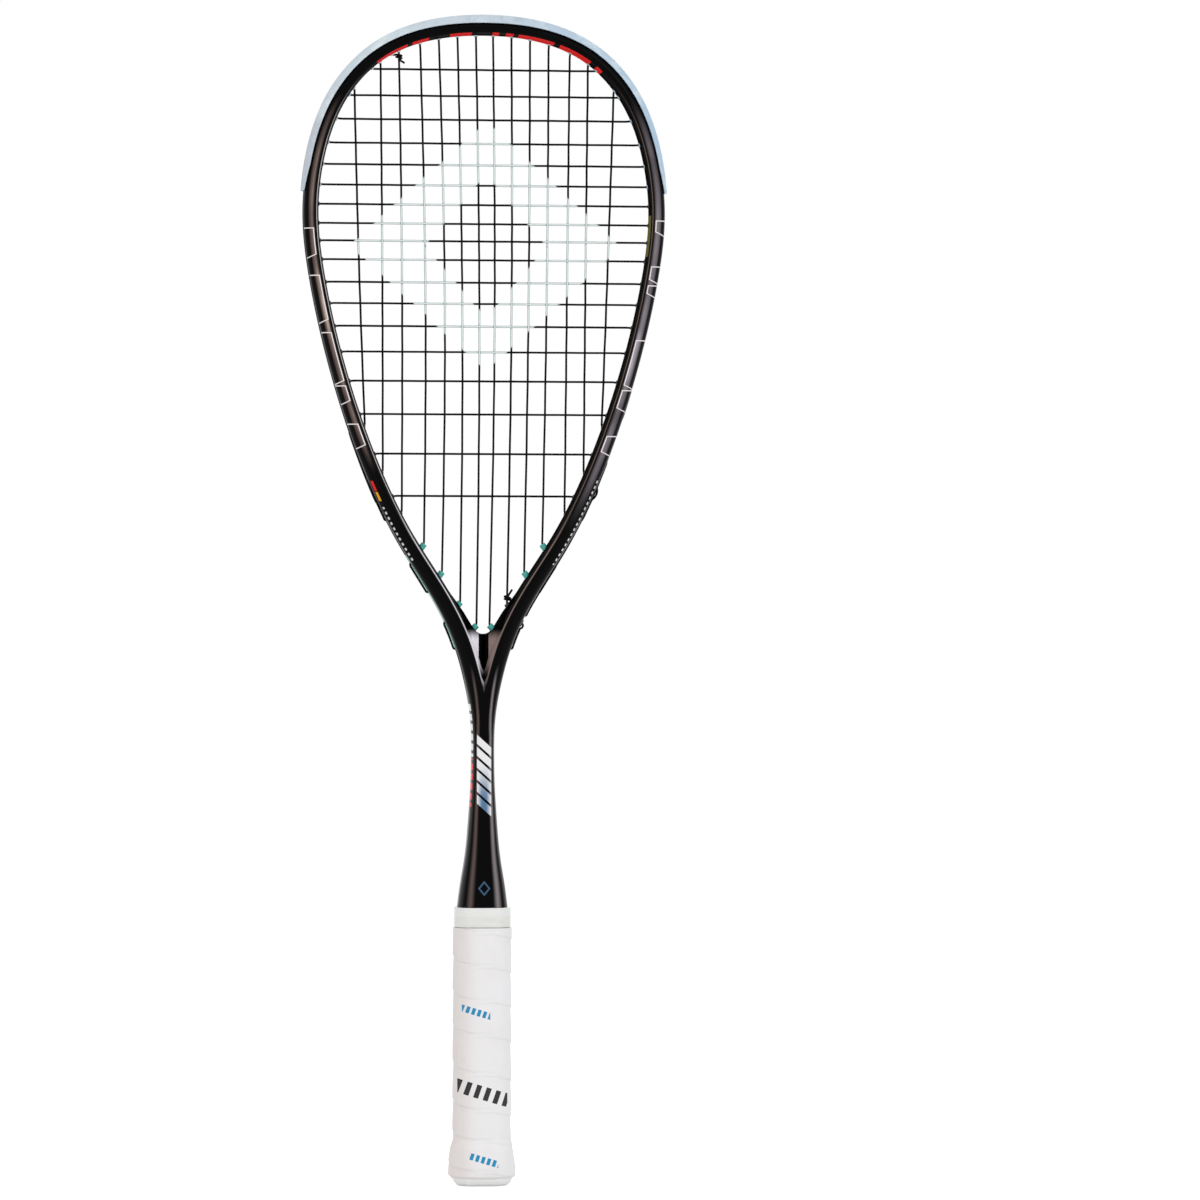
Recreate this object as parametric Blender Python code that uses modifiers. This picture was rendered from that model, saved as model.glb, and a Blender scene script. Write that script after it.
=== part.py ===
"""A squash racket with a teardrop head and an open throat, strung in one piece, 14 mains by 18 crosses.

The racket stands upright: +Z runs from the butt to the head, +X to the right, -Y to the front, and the
origin is the middle of the butt cap's end face. Sizes are in millimetres and become metres in the meshes.
"""

import math

import bmesh
import bpy
import numpy as np
from mathutils import Matrix, Vector

MM = 0.001
GAP = 0.3  # clearance between two pieces that seat on each other
OVERRUN = 1.0  # how far a cutter runs out of what it cuts

# ---- Frame: one carbon moulding of hoop, arms, shaft and the stem inside the handle
HANDLE_LENGTH = 161.7  # butt face to the top of the grip
SHAFT_LENGTH = 160.3  # top of the grip to the bottom of the throat's opening
HEAD_LENGTH = 355.9  # bottom of the throat's opening to the hoop's centreline at the crown
HEAD_HALF_WIDTH = 102.0  # of the hoop's centreline, where it is widest
TUBE_WIDTH, TUBE_DEPTH = 9.0, 18.0  # of the hoop's tube, in the string plane and across it
GROOVE_DEPTH = 2.6  # of the string groove in its outer face, near the crown
THROAT_Z = HANDLE_LENGTH + SHAFT_LENGTH
CROWN_Z = THROAT_Z + HEAD_LENGTH

# Right half of the tube's centreline. Each row: distance from the middle as a share of HEAD_HALF_WIDTH,
# height over THROAT_Z as a share of HEAD_LENGTH (below it, of SHAFT_LENGTH), and the width, depth and
# groove as shares of TUBE_WIDTH, TUBE_DEPTH and GROOVE_DEPTH.
HEAD_ROWS = (
    (0.0000, 1.0000, 0.878, 0.972, 1.00),
    (0.3039, 0.9919, 0.900, 0.972, 1.00),
    (0.5971, 0.9584, 0.933, 0.978, 1.00),
    (0.8304, 0.8885, 0.978, 0.989, 1.00),
    (0.9667, 0.7851, 1.000, 1.000, 1.00),
    (1.0000, 0.6968, 1.011, 1.011, 1.00),
    (0.9608, 0.5872, 1.011, 1.028, 1.00),
    (0.8569, 0.4543, 1.022, 1.050, 0.96),
    (0.6686, 0.2908, 1.078, 1.072, 0.77),
    (0.4461, 0.1576, 1.122, 1.089, 0.50),
    (0.2314, 0.0587, 1.189, 1.100, 0.46),
    (0.1196, -0.0073, 1.244, 1.100, 0.42),
)
SHAFT_ROWS = (
    (0.0510, -0.1622, 1.289, 1.089, 0.12),
    (0.0078, -0.3088, 1.400, 1.078, 0.02),
    (0.0000, -0.4180, 1.444, 1.067, 0.02),
)
# Flare of the shaft into the handle: height over the handle as a share of SHAFT_LENGTH, and width and
# depth as shares of the handle core's.
FLARE_ROWS = (
    (0.4679, 0.4474, 0.7405),
    (0.3244, 0.5395, 0.7786),
    (0.1809, 0.6875, 0.8397),
    (0.0749, 0.8684, 0.9313),
    (0.0000, 0.9671, 0.9695),
)
STEM_WIDTH, STEM_DEPTH, STEM_BASE_Z = 22.0, 17.0, 6.0
SHOULDER = 0.3  # height of the step from the flare to the stem
TUBE_STEP = 11.5  # length of one facet along the hoop
ARM_STEP = 14.0
GROOVE_HALF = 3.4  # half the width of the string groove
GROOVE_TAPER = 0.2  # how much narrower it is at its floor, on each side
ARM_CREST, SHAFT_CREST = 0.10, 0.55  # outer end of the flat on the face, as a share of half the width
CREST_REACH = 8.0  # distance from the middle within which, below the throat, the flat widens to the shaft's
WEB_RADIUS, WEB_HALF, WEB_DROP = 8.0, 9.5, 24.0  # rounded bottom of the throat's opening
WEB_CHANNEL = 2.6  # half the width of the channel down the middle of the web
WEB_TOP = 3.0  # height of the web's two shoulders over the opening's bottom
HOLE_OVERRUN = 3.0  # how far the cutter of a string hole runs out of the tube's outer face

# ---- String
STRING_RADIUS = 0.6
WEAVE = 0.9  # how far a string bows to the front or back where it crosses another
LANE = 1.95  # how far a string lies beside the middle of the groove where it passes another's hole
TURN_LEAN = 0.2  # how far a string leans to its next crossing's side at a barrel's mouth
SETTLE = 3.2  # distance from its hole at which a string is in its lane
CLIMB = 1.95  # how far a string rises to pass over another in the groove
# Where the mains end, from the middle, and where the crosses lie, from the crown down: at the barrels'
# mouths, as shares of HEAD_HALF_WIDTH and of HEAD_LENGTH.
MAIN_TOPS = (0.0490, 0.1559, 0.2627, 0.3706, 0.4922, 0.5980, 0.7471)
MAIN_BOTTOMS = (0.0363, 0.1304, 0.2363, 0.3402, 0.4686, 0.5784, 0.6824)
CROSSES = (
    0.9312, 0.8879, 0.8488, 0.8098, 0.7744, 0.7409,
    0.7089, 0.6777, 0.6491, 0.6182, 0.5811, 0.5462,
    0.5089, 0.4667, 0.4187, 0.3641, 0.2990, 0.2296,
)  # fmt: skip
# How far play has pulled each main to the right in its middle, left to right.
BOWS = (-0.5, 0.4, 1.0, 2.0, 2.6, 2.1, 1.9, 2.0, 1.4, 0.9, 0.8, 0.0, -0.1, 0.2)
MAINS = len(MAIN_TOPS)
KNOT_TURNS, KNOT_RADIUS, KNOT_RISE = 1.75, 2.0, 1.8
TAIL = 5.5

# ---- Grommets and bumper
BASE_THICKNESS = 0.8
BARREL_BORE, BARREL_WALL = 0.95, 0.35  # radius of the bore, thickness of the wall
BARREL_RADIUS = BARREL_BORE + BARREL_WALL
THROAT_BARREL_RADIUS = 1.7
BARREL_SIDES = 6
BARREL_PROUD = 1.0  # how far a barrel stands out of the inner wall
THROAT_BARREL_PROUDS = (4.0, 1.9, 1.9, 1.9)  # the same in the throat, innermost main first
THROAT_LEAN = 0.4  # how far the throat's holes lean, from 0, square to the tube, to 1, along the mains
MOUTH = 0.5  # a string turns this far beyond its barrel
TIE_OFF_SPACING = 4.6  # from a knotted main's barrel to the tie-off barrel
TIE_OFF_FLANGE, TIE_OFF_FLANGE_THICKNESS = 2.3, 0.6
BUMPER_PROUD, BUMPER_END_PROUD = 4.1, 1.6  # beyond the frame, at the crown and at the two ends
BUMPER_END_SHARE = 0.7488  # height of its ends over THROAT_Z, as a share of HEAD_LENGTH
BUMPER_FALL = 1.1  # power by which it falls from the crown to the ends
BUMPER_TAPER = 10.0  # length over which its wings narrow at each end
BUMPER_CHANNEL = 2.75  # half the width of the channel that the strings run in
STRIP_END = 3.4  # a strip runs this far past its last barrel

# ---- Handle
CORE_WIDTH, CORE_DEPTH, CORE_CHAMFER = 30.4, 26.2, 6.0
CORE_BASE_Z = 3.4
CAP_HEIGHT, CAP_FLOOR, CAP_SKIRT = 21.0, 3.0, 1.1
CAP_FLARE = 1.2  # widening of the cap near the butt, on each side
GRIP_THICKNESS, GRIP_LAP, GRIP_PITCH = 1.0, 0.6, 21.0
GRIP_BASE_Z = 4.6
GRIP_BRIDGE = 5.0  # height over which the tape comes down from the cap's skirt to the core
GRIP_STEP = 3.5  # height between two rings of its mesh
TAPE_WIDTH, TAPE_THICKNESS = 10.6, 0.55
STAPLE_SPAN, STAPLE_LEG, STAPLE_WIRE, STAPLE_Z = 8.0, 5.0, 0.8, 14.0
STAPLE_SINK = 0.05  # of its crown below the cap's face


# ------------------------------------------------------------------------------ scene helpers
def clear_scene():
    for obj in list(bpy.data.objects):
        bpy.data.objects.remove(obj, do_unlink=True)


def new_collection(name, helper=False):
    collection = bpy.data.collections.new(name)
    collection.hide_render = helper
    bpy.context.scene.collection.children.link(collection)
    return collection


def material(name, color, roughness, metallic=0.0):
    result = bpy.data.materials.new(name)
    result.use_nodes = True
    shader = result.node_tree.nodes["Principled BSDF"]
    shader.inputs["Base Color"].default_value = (*color, 1.0)
    shader.inputs["Roughness"].default_value = roughness
    shader.inputs["Metallic"].default_value = metallic
    return result


def add_object(name, mesh, collection, parent=None):
    obj = bpy.data.objects.new(name, mesh)
    collection.objects.link(obj)
    obj.parent = parent
    return obj


def finish(bm, name, smooth_angle=35.0):
    """Turns a bmesh in millimetres into a mesh in metres with its faces outwards."""
    bmesh.ops.scale(bm, vec=(MM, MM, MM), verts=bm.verts)
    bmesh.ops.recalc_face_normals(bm, faces=bm.faces)
    mesh = bpy.data.meshes.new(name)
    bm.to_mesh(mesh)
    bm.free()
    mesh.shade_smooth()
    mesh.set_sharp_from_angle(angle=math.radians(smooth_angle))
    return mesh


def loft(bm, rings):
    """Skins a row of rings that have as many points each, and closes both ends."""
    rows = [[bm.verts.new(point) for point in ring] for ring in rings]
    for first, second in zip(rows, rows[1:]):
        for k in range(len(first)):
            after = (k + 1) % len(first)
            bm.faces.new((first[k], first[after], second[after], second[k]))
    bm.faces.new(rows[0])
    bm.faces.new(reversed(rows[-1]))
    return bm


def lofted(name, rings):
    return finish(loft(bmesh.new(), rings), name)


def cutter(name, mesh):
    obj = add_object(name, mesh, CUTTERS)
    obj.hide_render = True
    obj.display_type = "WIRE"
    return obj


def boolean(obj, operation, other):
    modifier = obj.modifiers.new(f"{operation.lower()} {other.name}", "BOOLEAN")
    modifier.operation = operation
    modifier.object = other


# ------------------------------------------------------------------------------ the tube's rail
def spline_slopes(knots, values, first_slope, last_slope):
    """Slopes at the knots of the smooth cubic through the values."""
    count = len(knots)
    step = np.diff(knots)
    system = np.zeros((count, count))
    right = np.zeros_like(values)
    system[0, 0] = system[-1, -1] = 1.0
    right[0], right[-1] = first_slope, last_slope
    for i in range(1, count - 1):
        before, after = step[i - 1], step[i]
        system[i, i - 1 : i + 2] = 1 / before, 2 / before + 2 / after, 1 / after
        rise_before = (values[i] - values[i - 1]) / before**2
        rise_after = (values[i + 1] - values[i]) / after**2
        right[i] = 3 * (rise_before + rise_after)
    return np.linalg.solve(system, right)


def stations(rows, length):
    scale = (HEAD_HALF_WIDTH, length, TUBE_WIDTH, TUBE_DEPTH, GROOVE_DEPTH)
    table = np.array(rows) * scale
    table[:, 1] += THROAT_Z
    return table


STATIONS = np.concatenate([stations(HEAD_ROWS, HEAD_LENGTH), stations(SHAFT_ROWS, SHAFT_LENGTH)])
KNOTS = np.concatenate([[0.0], np.cumsum(np.hypot(*np.diff(STATIONS[:, :2], axis=0).T))])
LEVEL, PLUMB = (1.0, 0.0, 0.0, 0.0, 0.0), (0.0, -1.0, 0.0, 0.0, 0.0)
SLOPES = spline_slopes(KNOTS, STATIONS, LEVEL, PLUMB)
TUBE_END = KNOTS[-1]


def station_at(along):
    """(x, z, width, depth, groove) of the right half at a distance from the crown."""
    along = min(max(along, 0.0), TUBE_END)
    i = min(int(np.searchsorted(KNOTS, along, side="right")) - 1, len(KNOTS) - 2)
    span = KNOTS[i + 1] - KNOTS[i]
    t = (along - KNOTS[i]) / span
    return (
        (2 * t**3 - 3 * t**2 + 1) * STATIONS[i]
        + (t**3 - 2 * t**2 + t) * span * SLOPES[i]
        + (3 * t**2 - 2 * t**3) * STATIONS[i + 1]
        + (t**3 - t**2) * span * SLOPES[i + 1]
    )


class Place:
    """A place on the rail: along is the distance from the crown, negative on the left half."""

    def __init__(self, along):
        self.along = along
        self.side = -1.0 if along < 0 else 1.0
        x, z, self.width, self.depth, self.groove = station_at(abs(along))
        merged = max(0.0, 1 - x / CREST_REACH) if z < THROAT_Z else 0.0
        self.crest = ARM_CREST + (SHAFT_CREST - ARM_CREST) * merged
        behind, ahead = station_at(abs(along) - 0.05), station_at(abs(along) + 0.05)
        run = ahead[:2] - behind[:2]
        run /= np.hypot(*run)
        self.middle = np.array((self.side * x, z))
        self.outward = np.array((-self.side * run[1], run[0]))

    def point(self, out, depth):
        x, z = self.middle + self.outward * out
        return Vector((x, depth, z))

    @property
    def floor(self):
        """Seat of a grommet strip's base in the groove."""
        return self.width / 2 - self.groove + GAP

    @property
    def string_level(self):
        """A string's centre where it runs over a strip's base."""
        return self.floor + BASE_THICKNESS + GAP + STRING_RADIUS


def shoulder(width, depth, crest):
    """The tube's outer face as (outward, depth) points, from the flat's outer end to the groove's lip."""
    r, h = width / 2, depth / 2
    return (
        (crest * r, 1.0 * h),
        ((0.45 * crest + 0.55) * r, 0.83 * h),
        (0.93 * r, 0.55 * h),
        (r, GROOVE_HALF),
    )


def tube_section(width, depth, groove, crest):
    """The tube's outline as (outward, depth) points: a flat inner wall, a steep bevel up to the ridge on
    the face, the flat, a slope down to the outer shoulder, and the groove between two lips."""
    r, h = width / 2, depth / 2
    bevel = (
        (-r, 0.42 * h),
        (-0.88 * r, 0.74 * h),
        (-0.56 * r, 0.98 * h),
    )
    floor = ((r - groove, GROOVE_HALF - GROOVE_TAPER),)
    half = bevel + shoulder(width, depth, crest) + floor
    return half + tuple((out, -side) for out, side in reversed(half))


def along_steps(start, end, step):
    count = max(1, math.ceil(abs(end - start) / step))
    return [start + (end - start) * i / count for i in range(count + 1)]


HOOP_END = KNOTS[len(HEAD_ROWS) - 2]  # the last station but one of the head
HOOP_GRID = along_steps(-TUBE_STEP / 2, HOOP_END, TUBE_STEP)
ARM_GRID = along_steps(HOOP_END, TUBE_END, ARM_STEP)[1:]


def grid_between(start, end):
    """The frame's own rings between two places on the rail, and the two places."""
    grid = HOOP_GRID[1:] + ARM_GRID
    grid = sorted([-along for along in grid] + grid)
    low, high = min(start, end), max(start, end)
    inner = [along for along in grid if low + 1.0 < along < high - 1.0]
    alongs = [low] + inner + [high]
    return alongs if end > start else alongs[::-1]


# ------------------------------------------------------------------------------ string holes
def find_along(reach, wanted, low, high):
    """Distance from the crown at which reach, which falls or rises all the way, is the wanted value."""
    rising = reach(high) > reach(low)
    for _ in range(50):
        middle = (low + high) / 2
        if (reach(middle) < wanted) == rising:
            low = middle
        else:
            high = middle
    return (low + high) / 2


class Hole:
    """One string hole: its place, its axis, and how far its barrel stands out of the inner wall."""

    def __init__(self, along, proud=BARREL_PROUD, lean=0.0, radius=BARREL_RADIUS):
        self.place = Place(along)
        self.along = along
        self.proud = proud
        self.radius = radius
        self.lift = 0.0  # of the string over a flange on the outside
        string_way = np.array((0.0, -1.0))
        way = self.place.outward * (1 - lean) + string_way * lean
        way /= np.hypot(*way)
        self.stretch = 1.0 / float(way @ self.place.outward)
        self.way = way

    def at(self, out):
        """The point of the hole's axis at a distance from the rail."""
        x, z = self.place.middle + self.way * out * self.stretch
        return Vector((x, 0.0, z))

    def exit_along(self):
        """Distance from the crown, on the rail, of the hole's outer end."""
        rail = np.array((self.place.outward[1], -self.place.outward[0]))
        shift = float(self.way @ rail) * self.stretch * self.place.string_level
        return self.along + shift

    def mouth_out(self):
        return -self.place.width / 2 - self.proud

    def turn_in(self):
        return self.at(self.mouth_out() - MOUTH)


def main_hole(side, index, top):
    if top:
        make, wanted, low, high = Hole, MAIN_TOPS[index], 0.0, WIDEST
    else:
        wanted, low, high = MAIN_BOTTOMS[index], WIDEST, TUBE_END

        def make(along):
            if index >= THROAT_MAINS:
                return Hole(along)
            proud = THROAT_BARREL_PROUDS[index]
            return Hole(along, proud, THROAT_LEAN, THROAT_BARREL_RADIUS)

    def reach(along):
        hole = make(along)
        return hole.at(hole.mouth_out()).x

    return make(side * find_along(reach, wanted * HEAD_HALF_WIDTH, low, high))


def cross_hole(side, height):
    def reach(along):
        hole = Hole(along)
        return hole.at(hole.mouth_out()).z

    return Hole(side * find_along(reach, THROAT_Z + height * HEAD_LENGTH, 0.0, TUBE_END))


WIDEST = KNOTS[int(STATIONS[:, 0].argmax())]
BUMPER_END_Z = THROAT_Z + BUMPER_END_SHARE * HEAD_LENGTH
BUMPER_END = find_along(lambda along: Place(along).middle[1], BUMPER_END_Z, 0.0, TUBE_END)
THROAT_MAINS = len(THROAT_BARREL_PROUDS)  # mains from the middle that end in the throat strips
LEFT, RIGHT = -1, 1
TOP = {side: [main_hole(side, i, True) for i in range(MAINS)] for side in (LEFT, RIGHT)}
BOTTOM = {side: [main_hole(side, i, False) for i in range(MAINS)] for side in (LEFT, RIGHT)}
ENDS = {side: [cross_hole(side, height) for height in CROSSES] for side in (LEFT, RIGHT)}
KNOTTED_TOP, KNOTTED_BOTTOM = 4, 1  # the mains that carry the two knots, counted from the middle
TOP_TIE = Hole(TOP[LEFT][KNOTTED_TOP].along - TIE_OFF_SPACING)
BOTTOM_TIE = Hole(
    BOTTOM[RIGHT][KNOTTED_BOTTOM].along - TIE_OFF_SPACING,
    THROAT_BARREL_PROUDS[KNOTTED_BOTTOM],
    THROAT_LEAN,
    THROAT_BARREL_RADIUS,
)
BOTTOM[RIGHT][KNOTTED_BOTTOM].lift = GAP + TIE_OFF_FLANGE_THICKNESS
ALL_HOLES = [h for holes in (TOP, BOTTOM, ENDS) for side in (LEFT, RIGHT) for h in holes[side]]
ALL_HOLES += [TOP_TIE, BOTTOM_TIE]


def add_rod(bm, hole, inner_out, outer_out, radius):
    """A prism along a hole's axis, between two distances from the rail."""
    inner, outer = hole.at(inner_out), hole.at(outer_out)
    turn = (outer - inner).to_track_quat("Z", "Y").to_matrix().to_4x4()
    bmesh.ops.create_cone(
        bm,
        cap_ends=True,
        segments=BARREL_SIDES,
        radius1=radius,
        radius2=radius,
        depth=(outer - inner).length,
        matrix=Matrix.Translation((inner + outer) / 2) @ turn,
    )


def rods(name, holes, inner, outer, radius):
    """A cutter with a rod at each hole; inner, outer and radius give each rod's sizes from its hole."""
    bm = bmesh.new()
    for hole in holes:
        add_rod(bm, hole, inner(hole), outer(hole), radius(hole))
    return cutter(name, finish(bm, name))


def bore_radius(hole):
    return BARREL_BORE


# ------------------------------------------------------------------------------ pieces
def build_frame(parent):
    rings = []
    for along in HOOP_GRID + ARM_GRID:
        place = Place(along)
        section = tube_section(place.width, place.depth, place.groove, place.crest)
        rings.append([place.point(out, depth) for out, depth in section])
    for height, width, depth in FLARE_ROWS:
        z = HANDLE_LENGTH + height * SHAFT_LENGTH
        rings.append(shaft_ring(width * CORE_WIDTH, depth * CORE_DEPTH, z))
    for z in (HANDLE_LENGTH - SHOULDER, STEM_BASE_Z):
        rings.append(shaft_ring(STEM_WIDTH, STEM_DEPTH, z))
    frame = add_object("frame", lofted("frame", rings), RACKET, parent)
    mirror = frame.modifiers.new("two halves", "MIRROR")
    mirror.use_bisect_axis[0] = True
    mirror.merge_threshold = 0.0001
    boolean(frame, "UNION", throat_web())
    cut = rods(
        "string_holes",
        ALL_HOLES,
        lambda hole: hole.mouth_out() - OVERRUN,
        lambda hole: hole.place.width / 2 + HOLE_OVERRUN,
        lambda hole: hole.radius + GAP,
    )
    boolean(frame, "DIFFERENCE", cut)
    return frame


def shaft_ring(width, depth, z):
    """A ring of the shaft, whose groove has run out."""
    section = tube_section(width, depth, STATIONS[-1][4], SHAFT_CREST)
    return [Vector((out, side, z)) for out, side in section]


def throat_web():
    """The web that closes the bottom of the opening between the two arms: its faces fall from the arms'
    ridges to a channel down the middle, and its top is a hollow curve."""
    half_depth = STATIONS[len(HEAD_ROWS) - 1][3] / 2
    deep, shallow = 0.40 * half_depth, 0.80 * half_depth
    front = ((WEB_HALF, shallow), (WEB_CHANNEL, deep), (-WEB_CHANNEL, deep), (-WEB_HALF, shallow))
    outline = front + tuple((x, -y) for x, y in reversed(front))
    rings = [ring_at(outline, THROAT_Z - WEB_DROP), ring_at(outline, THROAT_Z + WEB_TOP)]
    web = cutter("throat_web", lofted("throat_web", rings))
    hollow = bmesh.new()
    middle = Matrix.Translation((0.0, 0.0, THROAT_Z + WEB_RADIUS))
    bmesh.ops.create_cone(
        hollow,
        cap_ends=True,
        segments=24,
        radius1=WEB_RADIUS,
        radius2=WEB_RADIUS,
        depth=4 * half_depth,
        matrix=middle @ Matrix.Rotation(math.pi / 2, 4, "X"),
    )
    boolean(web, "DIFFERENCE", cutter("throat_hollow", finish(hollow, "throat_hollow")))
    return web


def strip_section(place):
    half = GROOVE_HALF - GAP
    floor, top = place.floor, place.floor + BASE_THICKNESS
    narrow = half - GROOVE_TAPER
    return [(floor, narrow), (top, half), (top, -half), (floor, -narrow)]


def strip_alongs(holes, side):
    reach = sorted(abs(hole.along) for hole in holes)
    return grid_between(side * (reach[0] - STRIP_END), side * (reach[-1] + STRIP_END))


def add_barrels(obj, holes, outer):
    """Stands a barrel on a strip at each hole, and bores it."""
    barrels = rods(
        f"{obj.name}_barrels",
        holes,
        lambda hole: hole.mouth_out(),
        lambda hole: hole.place.floor + BASE_THICKNESS / 2,
        lambda hole: hole.radius,
    )
    bores = rods(
        f"{obj.name}_bores",
        holes,
        lambda hole: hole.mouth_out() - OVERRUN,
        outer,
        bore_radius,
    )
    boolean(obj, "UNION", barrels)
    boolean(obj, "DIFFERENCE", bores)


def strip_top(hole):
    return hole.place.floor + BASE_THICKNESS + OVERRUN


def build_strip(name, alongs, holes, parent, section=strip_section):
    rings = [[Place(a).point(out, side) for out, side in section(Place(a))] for a in alongs]
    strip = add_object(name, lofted(name, rings), RACKET, parent)
    add_barrels(strip, holes, strip_top)
    return strip


def bumper_section(place):
    """A base in the groove, two wings over the frame's shoulders and two rails beside the strings."""
    share = min(1.0, abs(place.along) / BUMPER_END)
    taper = min(1.0, (BUMPER_END - abs(place.along)) / BUMPER_TAPER)
    proud = BUMPER_PROUD + (BUMPER_END_PROUD - BUMPER_PROUD) * share**BUMPER_FALL
    wing = 0.15 + 0.85 * taper
    r = place.width / 2
    _, (tip_out, tip_side), (edge_out, edge_side), _ = shoulder(
        place.width, place.depth, place.crest
    )
    tip_out = edge_out + (tip_out - edge_out) * wing
    tip_side = edge_side + (tip_side - edge_side) * wing
    base = GROOVE_HALF - GAP
    half = (
        (place.floor, base - GROOVE_TAPER),
        (r + GAP, base),
        (r + GAP, GROOVE_HALF + 0.2),
        (edge_out + 1.1 * GAP, edge_side + 1.1 * GAP),
        (tip_out + GAP, tip_side + 1.3 * GAP),
        (tip_out + 1.0, tip_side + 0.9),
        (r + 0.45 * proud, edge_side + (0.4 + 0.6 * taper) * 1.6),
        (r + 0.88 * proud, edge_side + 0.2 - 0.4 * (1 - taper)),
        (r + proud, edge_side - 0.8),
        (r + 0.92 * proud, BUMPER_CHANNEL + 0.3),
        (place.floor + BASE_THICKNESS + 0.6, BUMPER_CHANNEL - 0.2),
        (place.floor + BASE_THICKNESS, BUMPER_CHANNEL - 0.6),
    )
    return half + tuple((out, -side) for out, side in reversed(half))


def in_bumper(hole):
    return abs(hole.along) < BUMPER_END


def build_bumper(parent):
    body = BUMPER_END - BUMPER_TAPER
    ends = [body + BUMPER_TAPER / 2, BUMPER_END]
    alongs = [-along for along in reversed(ends)] + grid_between(-body, body) + ends
    holes = [hole for hole in ALL_HOLES if in_bumper(hole)]
    return build_strip("bumper_guard", alongs, holes, parent, bumper_section)


def build_side_strip(name, side, parent):
    holes = [hole for hole in ENDS[side] if not in_bumper(hole)]
    holes += BOTTOM[side][THROAT_MAINS:]
    last = max(abs(hole.along) for hole in holes)
    alongs = grid_between(side * (BUMPER_END + GAP), side * (last + STRIP_END))
    return build_strip(name, alongs, holes, parent)


def build_throat_strips(parent):
    left = BOTTOM[LEFT][:THROAT_MAINS]
    build_strip(
        "throat_grommet_strip_left", strip_alongs(left, LEFT), left, parent
    ).data.materials.append(TEAL)
    knotted = BOTTOM[RIGHT][KNOTTED_BOTTOM]
    right = [hole for hole in BOTTOM[RIGHT][:THROAT_MAINS] if hole is not knotted]
    alongs = strip_alongs(right, RIGHT)
    strip = build_strip(
        "throat_grommet_strip_right", alongs, right + [BOTTOM_TIE], parent
    )
    strip.data.materials.append(TEAL)
    seat = rods(
        "tie_off_seat",
        [knotted],
        lambda hole: hole.place.floor - OVERRUN,
        strip_top,
        lambda hole: hole.radius + GAP,
    )
    boolean(strip, "DIFFERENCE", seat)


def build_tie_off_grommet(parent):
    """A flanged barrel that goes in from outside, over the teal strip."""
    hole = BOTTOM[RIGHT][KNOTTED_BOTTOM]
    seat = hole.place.floor + BASE_THICKNESS + GAP
    top = seat + TIE_OFF_FLANGE_THICKNESS
    bm = bmesh.new()
    add_rod(bm, Hole(hole.exit_along()), seat, top, TIE_OFF_FLANGE)
    grommet = add_object("tie_off_grommet", finish(bm, "tie_off_grommet"), RACKET, parent)
    middle = (seat + top) / 2
    barrel = rods(
        "tie_off_barrel", [hole], lambda h: h.mouth_out(), lambda h: middle, lambda h: h.radius
    )
    bore = rods(
        "tie_off_bore",
        [hole],
        lambda h: h.mouth_out() - OVERRUN,
        lambda h: top + OVERRUN,
        bore_radius,
    )
    boolean(grommet, "UNION", barrel)
    boolean(grommet, "DIFFERENCE", bore)
    return grommet


# ------------------------------------------------------------------------------ the string
def lane_stops(start, end, lane):
    """(distance from the crown, lane, climb) between two holes, all in one lane."""
    forward = 1.0 if end.along > start.along else -1.0
    leave, arrive = start.exit_along(), end.exit_along()
    first, last = leave + forward * SETTLE, arrive - forward * SETTLE
    if forward * (last - first) < 2.0:
        return [((leave + arrive) / 2, lane, 0.0)]
    return [(along, lane, 0.0) for along in grid_between(first, last)]


def swap_stops(start, end, over):
    """Where two strings change lanes on their way, one climbs over the other: the one below leaves the
    lowest cross's hole and goes to the outer lane, and the one above comes back from it."""
    begin = ENDS[RIGHT][-1].along - SETTLE + 0.2
    finish_at = BOTTOM[RIGHT][MAINS - 2].along + SETTLE + 1.4
    swap = []
    for share in (0.0, 0.25, 0.5, 0.75, 1.0):
        along = begin + (finish_at - begin) * share
        if over:
            swap.append((along, LANE * (share - 1.0), CLIMB * math.sin(math.pi * share) ** 0.6))
        else:
            swap.append((along, -LANE * share, 0.0))
    if over:
        ahead = [(BOTTOM[RIGHT][MAINS - 3].along - SETTLE, -LANE, 0.0)]
        after = []
    else:
        ahead = []
        after = [(ENDS[RIGHT][-2].along + SETTLE, -LANE, 0.0)]
    stops = ahead + swap + after
    forward = 1.0 if end.along > start.along else -1.0
    return sorted(stops, key=lambda stop: forward * stop[0])


def turn_out(hole, forward, lane):
    """Points from a hole's outer end round the corner into the groove, and over a flange if it has one."""
    level = hole.place.string_level + hole.lift
    points = [hole.at(level - 0.5)]
    reaches = (0.9, TIE_OFF_FLANGE + 0.4) if hole.lift else (0.9,)
    for reach in reaches:
        place = Place(hole.exit_along() + forward * reach)
        points.append(place.point(place.string_level + hole.lift, lane * 0.3))
    return points


def outside_run(start, end, stops):
    """Points from one hole's outer end to another's along the groove, through the stops."""
    forward = 1.0 if end.along > start.along else -1.0
    first_lane, last_lane = stops[0][1], stops[-1][1]
    points = turn_out(start, forward, first_lane)
    for along, lane, climb in stops:
        place = Place(along)
        points.append(place.point(place.string_level + climb, lane))
    return points + turn_out(end, -forward, last_lane)[::-1]


def lane_run(start, end, lane):
    return outside_run(start, end, lane_stops(start, end, lane))


def crossing_side(main_number, cross_number):
    """+1 where a main passes behind a cross, -1 where it passes in front."""
    return 1.0 if (main_number + cross_number) % 2 == 0 else -1.0


def main_number(side, index):
    """Mains counted from the left, from 1."""
    return MAINS - index if side == LEFT else MAINS + 1 + index


def bow_of(side, index):
    return BOWS[main_number(side, index) - 1]


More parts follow.
